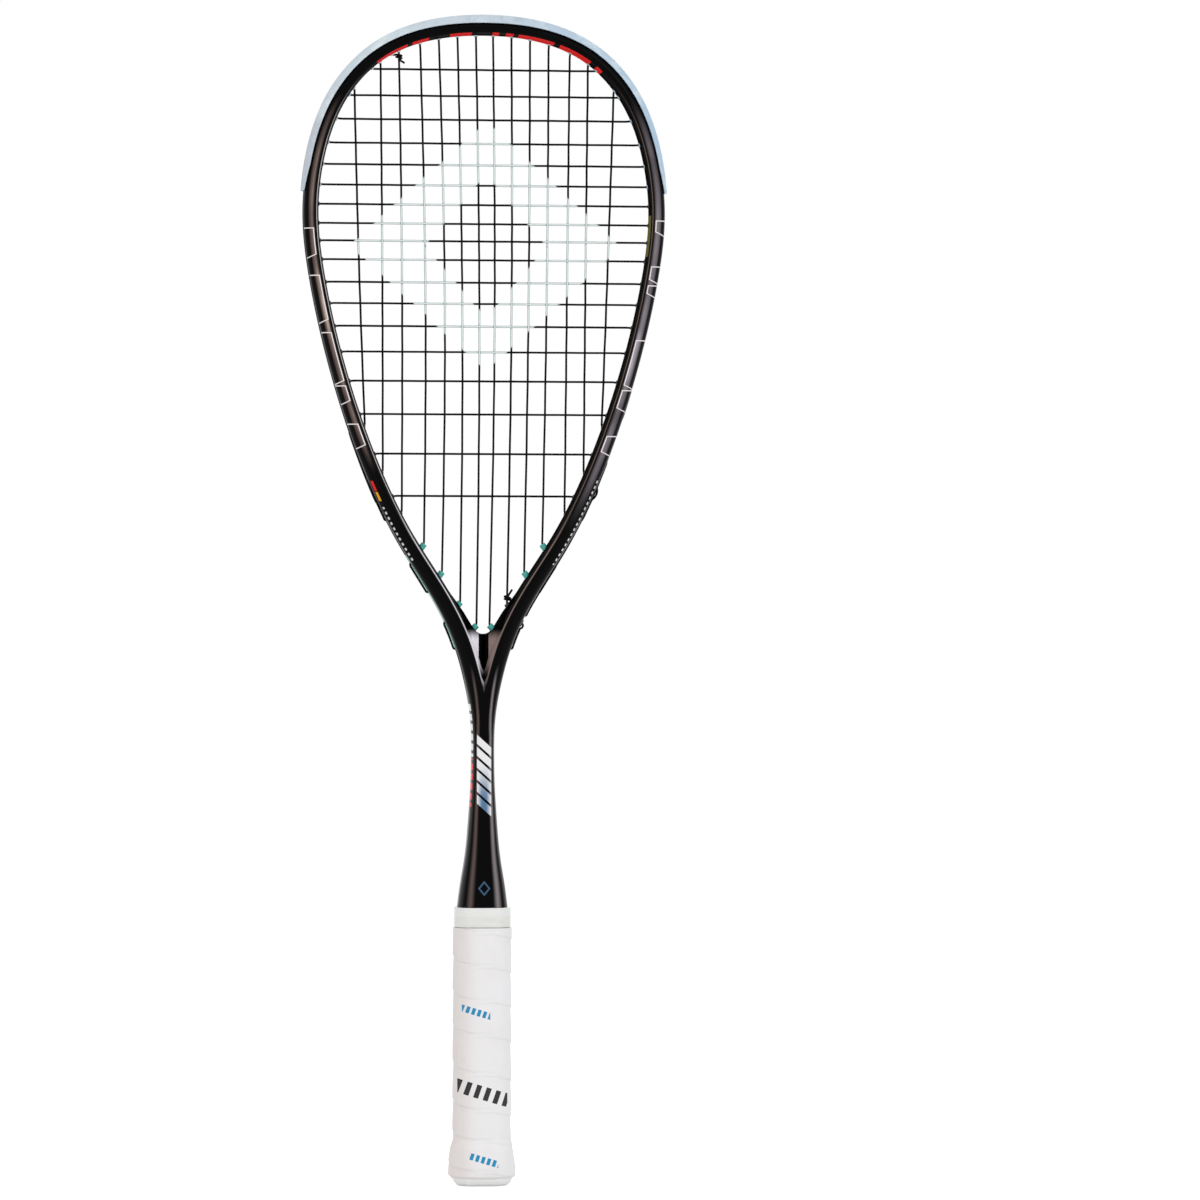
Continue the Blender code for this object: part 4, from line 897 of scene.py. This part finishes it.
def lacquer():
    """Black lacquer with painted highlights in copper and mauve and plain marks, matt on the inner wall."""
    n = Finish("frame_lacquer", 0.26, Coat_Weight=0.01, Coat_Roughness=0.10)
    along, share = n.uv()
    right = n.over(n.x, 0.0)
    sides = {LEFT: n.math("SUBTRACT", 1.0, right), RIGHT: right}
    broad = n.over(n.away(n.y, 0.0), FACE_DEPTH)
    hoop_painted_highlights(n, share, sides, broad)
    throat_painted_highlights(n, share, right, broad)
    head_marks(n, along, share, sides, broad)
    shaft_marks(n, share, sides[LEFT], broad)
    fine_marks = n.noise(900.0, 3.0, 0.6, stretch=(1.0, 1.0, 0.15))
    n.vary_roughness(fine_marks, 0.20, 0.30)
    n.bump(fine_marks, 0.00001, 0.25)
    gloss = n.times(n.step(share, 0.03, 0.13), n.remap(share, (0.90, 0.98), (0.03, 0.12)))
    n.set("Specular IOR Level", gloss)
    return n.finished()


def plastic(name, color, roughness, grain=420.0, depth=0.00003, spread=0.12):
    """Moulded plastic: a fine grain, faint flow marks and a little wear in its gloss."""
    n = Finish(name, roughness)
    darker, paler = (tuple(channel * (1 + change) for channel in color) for change in (-spread, spread))
    n.top = n.mix(n.noise(60.0, 3.0), darker, paler)
    n.vary_roughness(n.noise(150.0), roughness - 0.06, roughness + 0.08)
    n.bump(n.noise(grain), depth)
    return n.finished()


def bumper_plastic():
    """Pale blue-grey plastic, bluer on the right, with faint flow streaks, scuffed at the crown."""
    n = Finish("bumper_plastic", 0.42)
    n.top = n.mix(n.step(n.x, -0.02, 0.09), BUMPER_GREY, BUMPER_BLUE)
    n.coat(n.times(n.step(n.x, -0.080, -0.098), n.step(n.z, 0.665, 0.640), 0.35), BUMPER_LILAC)
    streak = n.noise(55.0, 4.0, 0.65, stretch=(1.0, 0.4, 1.0))
    n.coat(n.times(n.step(streak, 0.46, 0.66), 0.55), BUMPER_STREAK)
    scuffs = n.step(n.noise(240.0, 4.0, 0.7), 0.50, 0.62)
    n.coat(n.times(n.step(n.z, 0.674, 0.685), scuffs, 0.30), BUMPER_SCUFF)
    n.vary_roughness(streak, 0.36, 0.52)
    n.bump(n.noise(500.0), 0.00003)
    return n.finished()


def string_material():
    """Black string with a faint twist, and a plain white hollow diamond sprayed on through a stencil, with
    painted shade at its sides.
    """
    n = Finish("string_black", 0.36, Specular_IOR_Level=0.05)
    along, around = n.uv()
    twist = n.wave(n.math("ADD", n.times(along, STRING_TWISTS), around), 0.5)
    n.top = n.mix(n.step(twist, 0.2, 1.0), STRING_DARK, STRING_LIGHT)
    away = [n.away(value, middle) for value, middle in zip((n.x, n.z), STENCIL_MIDDLE)]
    ragged = n.times(n.math("SUBTRACT", n.noise(260.0, 3.0), 0.5), 0.06)
    outer, inner = (n.math("ADD", n.diamond(*away, *halves), ragged) for halves in STENCIL_HALVES)
    facing = n.add("ShaderNodeSeparateXYZ", n.add("ShaderNodeNewGeometry").outputs["Normal"]).outputs[1]
    ink = n.times(n.step(outer, 1.01, 0.99), n.step(inner, 0.98, 1.02), n.step(facing, 0.35, -0.05))
    # Painted shade: the ink turns grey-cyan where the string's surface turns away from the front.
    n.coat(n.times(ink, 0.96), n.mix(n.step(facing, -0.50, -0.92), STENCIL_EDGE_SHADE, STENCIL_WHITE))
    n.bump(twist, 0.00003)
    return n.finished()


def grip_material():
    """Cushioned white tape: a soft grain, faint marks of the hand, and painted shade that makes the left
    side warmer and darker.
    """
    n = Finish("grip_tape_white", 0.72)
    # Painted shade: the left side of the grip is drawn warmer and darker than the right.
    n.top = n.mix(n.step(n.x, -0.016, 0.000), GRIP_SHADE_WARM, GRIP_WHITE)
    cloud = n.noise(55.0, 4.0, 0.6, stretch=(1.0, 1.0, 0.7))
    n.coat(n.times(n.step(cloud, 0.42, 0.70), 0.16), GRIP_MARK)
    front = n.under(n.y, -0.008)
    fall, slanted = n.tilted(n.z, n.x, 0.30), n.tilted(n.x, n.z, -0.35)
    for low_row, high_row, first, last, width, gap, ink in GRIP_PRINT:
        tall = n.within(fall, height_of(low_row), height_of(high_row))
        stroke = n.under(n.math("FRACT", n.times(slanted, 1 / (width + gap))), width / (width + gap))
        span = n.within(n.x, across_of(first) * MM, across_of(last) * MM)
        n.coat(n.times(front, tall, stroke, span), ink)
    pores = n.add("ShaderNodeTexVoronoi")
    n.fill(pores, Vector=n.where, Scale=1100.0)
    n.bump(n.math("ADD", n.times(pores.outputs["Distance"], 0.5), n.noise(500.0, 3.0)), 0.00012)
    n.vary_roughness(cloud, 0.66, 0.80)
    return n.finished()


def band_material():
    """Vinyl finishing tape, pale greenish grey, with fine lines round it."""
    n = Finish("finishing_band_vinyl", 0.48)
    cloud = n.noise(90.0, 3.0, stretch=(1.0, 1.0, 4.0))
    n.top = n.mix(cloud, BAND_GREY, BAND_PALE)
    n.coat(n.times(n.step(n.z, 0.1572, 0.1582), 0.5), BAND_EDGE)
    n.bump(n.tilted(cloud, n.wave(n.z, 0.0011), 0.4), 0.00006)
    return n.finished()


def foam_material():
    n = Finish("core_foam", 0.85)
    cells = n.noise(900.0, 4.0)
    n.top = n.mix(cells, FOAM_DARK, FOAM_PALE)
    n.bump(cells, 0.0001, 0.6)
    return n.finished()


def steel_material():
    n = Finish("staple_wire", 0.30, Metallic=1.0)
    drawn = n.noise(700.0, stretch=(8.0, 1.0, 1.0))
    n.top = n.mix(drawn, STEEL_DARK, STEEL_PALE)
    n.vary_roughness(drawn, 0.24, 0.40)
    return n.finished()


# ------------------------------------------------------------------------------ pieces
def web_rings():
    """The web between the arms, as rings across the opening from left of the middle into the right arm:
    its top is a smooth hollow that runs up the arms' inner walls."""
    half_depth = STATIONS[len(HEAD_ROWS) - 1][3] / 2
    tops, bottoms = np.array(WEB_TOPS) + THROAT_Z, np.array(WEB_BOTTOMS) + THROAT_Z
    tables = np.array(WEB_DEPTHS) * half_depth, tops, bottoms
    rings = []
    for x in np.linspace(-1.0, WEB_SPAN[-1], WEB_RINGS):
        half, top, bottom = (float(np.interp(abs(x), WEB_SPAN, values)) for values in tables)
        section = ((-half, bottom),)
        section += tuple((-half + inward, top - under) for inward, under in WEB_EDGE)
        section += tuple((-side, height) for side, height in reversed(section))
        rings.append([(x, side, height) for side, height in section])
    return rings


def build_frame():
    rings, shares, alongs = [], [], []
    for along in steps(-2.0, TUBE_END, RING_STEP):
        place = Place(along)
        section = tube_section(place.width, place.depth, place.groove, place.crest)
        rings.append([place.point(out, side) for out, side in section])
        shares.append(0.5 + section[:, 0] / place.width)
        alongs.append(along)
    heights = [STATIONS[-1][1]] + [HANDLE_LENGTH + row[0] * SHAFT_LENGTH for row in FLARE_ROWS]
    sizes = [STATIONS[-1][2:4]] + [(row[1] * CORE_WIDTH, row[2] * CORE_DEPTH) for row in FLARE_ROWS]
    drop = heights[0] - np.array(heights)
    sizes = np.array(sizes)
    slopes = spline_slopes(drop, sizes, (0.0, 0.0), (sizes[-1] - sizes[-2]) / (drop[-1] - drop[-2]))
    flare = [(heights[0] - at, *spline_at(drop, sizes, slopes, at)) for at in steps(0, drop[-1], 2.5)[1:]]
    flare += [(HANDLE_LENGTH - GAP, STEM_WIDTH, STEM_DEPTH), (STEM_BASE_Z, STEM_WIDTH, STEM_DEPTH)]
    for z, width, depth in flare:
        section = tube_section(width, depth, STATIONS[-1][4], SHAFT_CREST)
        rings.append([(out, side, z) for out, side in section])
        shares.append(0.5 + section[:, 0] / width)
        alongs.append(TUBE_END + heights[0] - z)
    shares = [np.append(row, row[0]) for row in shares]
    tube = skin("tube", rings, np.array(alongs) * MM, shares, smooth_angle=50.0)
    rings = web_rings()
    shares = np.full((len(rings), len(rings[0]) + 1), WEB_SHARE)
    web = skin("web", rings, np.ones(len(rings)), shares, smooth_angle=50.0)
    obj = piece("frame_shell", joined("frame_shell", [tube, web], 50.0), lacquer(), ["frame"])
    mirror = obj.modifiers.new("two halves", "MIRROR")
    mirror.use_bisect_axis[0] = True
    mirror.merge_threshold = 0.0001
    return obj


def turned_rings(profile, centre_at, axis, sides):
    """Rings round an axis in the middle plane, one for each place and radius of the profile."""
    across = Vector((0.0, 1.0, 0.0))
    third = axis.cross(across)
    angles = [2 * math.pi * k / sides for k in range(sides)]
    ways = [math.cos(angle) * across + math.sin(angle) * third for angle in angles]
    return [[centre_at(out) + radius * way for way in ways] for out, radius in profile]


def barrel(hole):
    """A round barrel with a rounded lip, open for the string."""
    inner = hole.mouth_out()
    root = -hole.place.width / 2 + BARREL_ROOT
    r, bore = hole.radius, BARREL_BORE
    profile = (
        (root, r),
        (inner + 0.35, r),
        (inner + 0.10, r - 0.08),
        (inner, r - 0.22),
        (inner + 0.08, bore + 0.03),
        (inner + 0.40, bore - 0.05),
        (root, bore - 0.05),
    )
    rings = turned_rings(profile, hole.at, (hole.at(inner) - hole.at(root)).normalized(), BARREL_SIDES)
    mesh = skin("barrel", rings + rings[:1], closed_ends=False, smooth_angle=60.0)
    with editing(mesh) as bm:
        bmesh.ops.remove_doubles(bm, verts=bm.verts, dist=1e-7)
        bmesh.ops.recalc_face_normals(bm, faces=bm.faces)
    return mesh


def strip_section(place):
    half, floor, top = GROOVE_HALF - GAP, place.floor, place.floor + BASE_THICKNESS
    return rounded(mirrored(((floor, half - GROOVE_TAPER), (top, half))), [0.3] * 4)


def bumper_section(place):
    share = min(1.0, abs(place.along) / BUMPER_END)
    taper = min(1.0, (BUMPER_END - abs(place.along)) / BUMPER_TAPER)
    proud = BUMPER_PROUD + (BUMPER_END_PROUD - BUMPER_PROUD) * share**BUMPER_FALL
    wing = 0.15 + 0.85 * taper
    r = place.width / 2
    _, (tip_out, tip_side), (edge_out, edge_side), _ = shoulder(place.width, place.depth, place.crest)
    tip_out = edge_out + (tip_out - edge_out) * wing
    tip_side = edge_side + (tip_side - edge_side) * wing
    base = GROOVE_HALF - GAP
    half = (
        (place.floor, base - GROOVE_TAPER),
        (r + GAP, base),
        (r + GAP, GROOVE_HALF + 0.2),
        (edge_out + 1.1 * GAP, edge_side + 1.1 * GAP),
        (tip_out + GAP, tip_side + 1.3 * GAP),
        (tip_out + 1.0, tip_side + 0.9),
        (r + 0.45 * proud, edge_side + (0.4 + 0.6 * taper) * 1.6),
        (r + 0.88 * proud, edge_side + 0.2 - 0.4 * (1 - taper)),
        (r + proud, edge_side - 0.8),
        (r + 0.92 * proud, BUMPER_CHANNEL + 0.3),
        (place.floor + BASE_THICKNESS + 0.6, BUMPER_CHANNEL - 0.2),
        (place.floor + BASE_THICKNESS, BUMPER_CHANNEL - 0.6),
    )
    shares = (0.2, 0.2, 0.2, 0.3, 0.4, 0.4, 0.45, 0.45, 0.45, 0.4, 0.3, 0.3)
    return rounded(mirrored(half), shares + shares[::-1], 3)


def strip_mesh(name, alongs, holes, section=strip_section):
    rings = [[Place(a).point(out, side) for out, side in section(Place(a))] for a in alongs]
    meshes = [skin(name, rings, np.array(alongs) * MM)] + [barrel(hole) for hole in holes]
    return joined(name, meshes, 50.0)


def in_bumper(hole):
    return abs(hole.along) < BUMPER_END


def build_strips():
    bumper_holes = [hole for hole in ALL_HOLES if in_bumper(hole)]
    mesh = strip_mesh("bumper", steps(-BUMPER_END, BUMPER_END, RING_STEP), bumper_holes, bumper_section)
    piece("bumper_moulding", mesh, bumper_plastic(), ["bumper_guard"])
    black, teal = plastic("grommet_black", GROMMET_BLACK, 0.42), plastic("grommet_teal", GROMMET_TEAL, 0.38)
    for side, name in ((LEFT, "left"), (RIGHT, "right")):
        holes = [hole for hole in ENDS[side] if not in_bumper(hole)] + BOTTOM[side][THROAT_MAINS:]
        last = max(abs(hole.along) for hole in holes)
        alongs = steps(side * (BUMPER_END + GAP), side * (last + STRIP_END), RING_STEP)
        mesh = strip_mesh("side_strip", alongs, holes)
        piece(f"side_strip_{name}", mesh, black, [f"side_grommet_strip_{name}"])
        holes = [hole for hole in BOTTOM[side][:THROAT_MAINS] if hole is not KNOTTED]
        reach = sorted(abs(hole.along) for hole in holes)
        alongs = steps(side * (reach[0] - STRIP_END), side * (reach[-1] + STRIP_END), RING_STEP)
        holes += [BOTTOM_TIE] if side == RIGHT else []
        mesh = strip_mesh("throat_strip", alongs, holes)
        piece(f"throat_strip_{name}", mesh, teal, [f"throat_grommet_strip_{name}"])
    build_tie_off(black)


def build_tie_off(black):
    upright = Hole(KNOTTED.exit_along())
    seat = KNOTTED.place.floor + BASE_THICKNESS + GAP
    top = seat + TIE_OFF_FLANGE_THICKNESS
    radius = TIE_OFF_FLANGE
    profile = ((seat, radius - 0.15), (seat + 0.15, radius), (top - 0.2, radius), (top, radius - 0.25))
    axis = (upright.at(top) - upright.at(seat)).normalized()
    meshes = [skin("flange", turned_rings(profile, upright.at, axis, FLANGE_SIDES)), barrel(KNOTTED)]
    piece("tie_off_barrel", joined("tie_off", meshes, 50.0), black, ["tie_off_grommet"])


def build_string():
    path = bent_path([tuple(point) for point in string_route()])
    rings, distance = tube_rings(path, STRING_RADIUS, STRING_SIDES)
    mesh = skin("string", rings, distance * MM, smooth_angle=60.0)
    piece("string_fine", mesh, string_material(), ["racket_string"])


# ---- Handle
def soft_octagon(grow, points=8, share=0.42):
    """The core's octagon, grown all round, with its corners rounded."""
    chamfer = CORE_CHAMFER + grow * (2 - math.sqrt(2))
    x, y = (CORE_WIDTH + 2 * grow) / 2, (CORE_DEPTH + 2 * grow) / 2
    half = ((x, y - chamfer), (x - chamfer, y), (chamfer - x, y), (-x, y - chamfer))
    return rounded(half + tuple((-a, -b) for a, b in half), [share] * 8, points)


SKIRT = GAP + CAP_SKIRT
HANDLE_HEIGHTS = (0.0, 1.0, 2.8, 6.0, 11.0, CAP_HEIGHT, CAP_HEIGHT + GAP, CAP_HEIGHT + GAP + GRIP_BRIDGE)
WIDEST_SKIRT = SKIRT + CAP_FLARE
HANDLE_GROWTH = (SKIRT - 2.6, SKIRT - 0.9, SKIRT + 0.3, WIDEST_SKIRT, WIDEST_SKIRT, SKIRT, SKIRT, 0.0)
# Heights at which each turn's lower edge crosses the middle of the front.
TURNS = (-12.0, 8.0, 26.2, 43.8, 65.2, 88.0, 108.0, 128.2, 147.9, 168.0)


def turn_at(z, angle):
    """Turns wound at a point of the grip, whole at a lower edge; the angle is from the front, rightward."""
    return np.interp(z, TURNS, np.arange(len(TURNS))) + angle / (2 * math.pi)


GRIP_STEP, GRIP_ROUNDING, GRIP_TUCK, LAP_EDGE, TURN_BULGE = 0.45, 1.2, 0.6, 0.045, 0.10
HAND_AROUND, HAND_ALONG = 0.05, 0.04  # how far the hand has pressed waves into the grip
GRIP_FIRST, GRIP_LAST = 0.93, 0.86  # the grip's end rings, drawn in to close it on the core


def build_grip():
    """The wound tape: each turn lies with its soft lower edge over the one before."""
    top = HANDLE_LENGTH - TAPE_WIDTH - GAP
    rings = []
    for z in steps(GRIP_BASE_Z, top, GRIP_STEP):
        growth = float(np.interp(z, HANDLE_HEIGHTS, HANDLE_GROWTH)) + GAP + GRIP_THICKNESS
        if z < GRIP_BASE_Z + GRIP_ROUNDING:
            growth -= GRIP_TUCK * (1 - (z - GRIP_BASE_Z) / GRIP_ROUNDING) ** 2
        ring = []
        for x, y in soft_octagon(growth, 10):
            angle = math.atan2(x, -y)
            turn = turn_at(z, angle)
            share = turn - math.floor(turn)
            edge = min(1.0, share / LAP_EDGE)
            lap = GRIP_LAP * (1 - share) * edge**0.5 + TURN_BULGE * math.sin(math.pi * share)
            around = HAND_AROUND * math.sin(7 * angle + 3.1 * turn)
            hand = around + HAND_ALONG * math.sin(0.21 * z + 2 * angle)
            grow = 1 + (lap + hand) / math.hypot(x, y)
            ring.append((x * grow, y * grow, z))
        rings.append(ring)
    rings.append([(x * GRIP_LAST, y * GRIP_LAST, z) for x, y, z in rings[-1]])
    rings.insert(0, [(x * GRIP_FIRST, y * GRIP_FIRST, z) for x, y, z in rings[0]])
    mesh = skin("grip", rings, smooth_angle=70.0)
    piece("grip_wrap", mesh, grip_material(), ["grip_tape"])


BAND_RIPPLE, BAND_STEP, BAND_TURN_END, BAND_TURN_REACH = 0.05, 0.12, 0.5, 2.2


def build_band():
    """The finishing tape, with the end of its last turn as a step and its top edge turned in."""
    low, high = HANDLE_LENGTH - TAPE_WIDTH, HANDLE_LENGTH + 0.9
    full = GAP + TAPE_THICKNESS
    profile = ((low, full - 0.45), (low + 0.1, full - 0.08), (low + 0.35, full))
    profile += tuple((z, full + BAND_RIPPLE * math.sin(1.9 * z)) for z in steps(low + 0.9, high - 0.9, 0.7))
    profile += ((high - 0.45, full), (high - 0.12, full - 0.08), (high, full - 0.4))
    rings = []
    for z, grow in profile:
        ring = []
        for x, y in soft_octagon(grow, 8, 0.36):
            angle = math.atan2(x, -y) + BAND_TURN_END
            step = BAND_STEP if 0.0 < angle < BAND_TURN_REACH else 0.0
            size = 1 + step / math.hypot(x, y)
            ring.append((x * size, y * size, z))
        rings.append(ring)
    piece("finishing_band", skin("band", rings), band_material(), ["finishing_tape"])


def dress_cad_nodes():
    cap = plastic("cap_plastic", CAP_WHITE, 0.45, 300.0, 0.00005, 0.03)
    steel = steel_material()
    dress = {"butt_cap": cap, "handle_core": foam_material()}
    dress.update(butt_staple_front=steel, butt_staple_rear=steel)
    for name, material in dress.items():
        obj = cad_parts[name]
        for slot in obj.material_slots:
            slot.link = "OBJECT"
            slot.material = material


# ------------------------------------------------------------------------------ studio
FLOOR_SIZE, FLOOR_DROP, FLOOR_GLOW, WORLD_LIGHT = 3.0, 0.0004, 0.55, 0.78


def seen_directly(n):
    """1 for camera, glossy and transmission rays, and 0 for those that light the scene."""
    seen = n.add("ShaderNodeLightPath").outputs
    return n.most(seen["Is Camera Ray"], seen["Is Glossy Ray"], seen["Is Transmission Ray"])


def build_floor():
    n = Finish("studio_floor", 0.9)
    n.top = n.mix(n.noise(3.0), FLOOR_DARK, FLOOR_PALE)
    n.fill(n.shader, Emission_Color=(1, 1, 1), Emission_Strength=n.times(seen_directly(n), FLOOR_GLOW))
    mesh = bpy.data.meshes.new("floor")
    with editing(mesh) as bm:
        bmesh.ops.create_grid(bm, x_segments=8, y_segments=8, size=FLOOR_SIZE)
    mesh.materials.append(n.finished())
    floor = bpy.data.objects.new("floor", mesh)
    floor.location.z = -FLOOR_DROP
    scene.collection.objects.link(floor)


def build_world():
    world = bpy.data.worlds.new("studio")
    world.use_nodes = True
    n = Nodes(world.node_tree)
    strength = n.remap(seen_directly(n), (0.0, 1.0), (WORLD_LIGHT, 1.0))
    n.fill(n.tree.nodes["Background"], Color=(1, 1, 1), Strength=strength)
    scene.world = world


def softbox(name, location, aim, width, height, power, color=(1, 1, 1)):
    data = bpy.data.lights.new(name, "AREA")
    data.shape = "RECTANGLE"
    data.size, data.size_y = width, height
    data.energy = power
    data.color = color
    obj = bpy.data.objects.new(name, data)
    obj.location = location
    obj.rotation_mode = "QUATERNION"
    obj.rotation_quaternion = (Vector(aim) - Vector(location)).to_track_quat("-Z", "Y")
    scene.collection.objects.link(obj)


def build_lights():
    softbox("key", (1.4, -2.2, 1.5), (0, 0, 0.35), 1.2, 1.6, 16.0, (0.97, 0.98, 1.0))
    softbox("fill", (-1.8, -1.8, 0.9), (0, 0, 0.35), 1.0, 1.6, 8.0, (1.0, 0.96, 0.94))
    softbox("rim", (0.6, 2.2, 1.4), (0, 0, 0.4), 1.0, 1.2, 9.0)


def build_camera():
    view_width = IMAGE_PX * MM_PER_PX * MM
    back = Vector((math.sin(AZIMUTH), -math.cos(AZIMUTH), 0.0))
    right = Vector((math.cos(AZIMUTH), math.sin(AZIMUTH), 0.0))
    middle_z = (BUTT_PX - IMAGE_PX / 2) * MM_PER_PX * MM
    target = Vector((0.0, 0.0, middle_z)) + right * ((IMAGE_PX / 2 - AXIS_PX) * MM_PER_PX * MM)
    data = bpy.data.cameras.new("camera")
    data.sensor_width = SENSOR
    data.lens = SENSOR * DISTANCE / view_width
    data.clip_end = 50.0
    camera = bpy.data.objects.new("camera", data)
    camera.location = target + back * DISTANCE
    camera.rotation_mode = "QUATERNION"
    level = (-back).to_track_quat("-Z", "Y")
    camera.rotation_quaternion = level @ Quaternion((0.0, 0.0, 1.0), ROLL)
    scene.collection.objects.link(camera)
    scene.camera = camera


build_camera()
build_frame()
build_strips()
build_string()
build_grip()
build_band()
dress_cad_nodes()
build_floor()
build_world()
build_lights()
scene.view_settings.view_transform = "Standard"
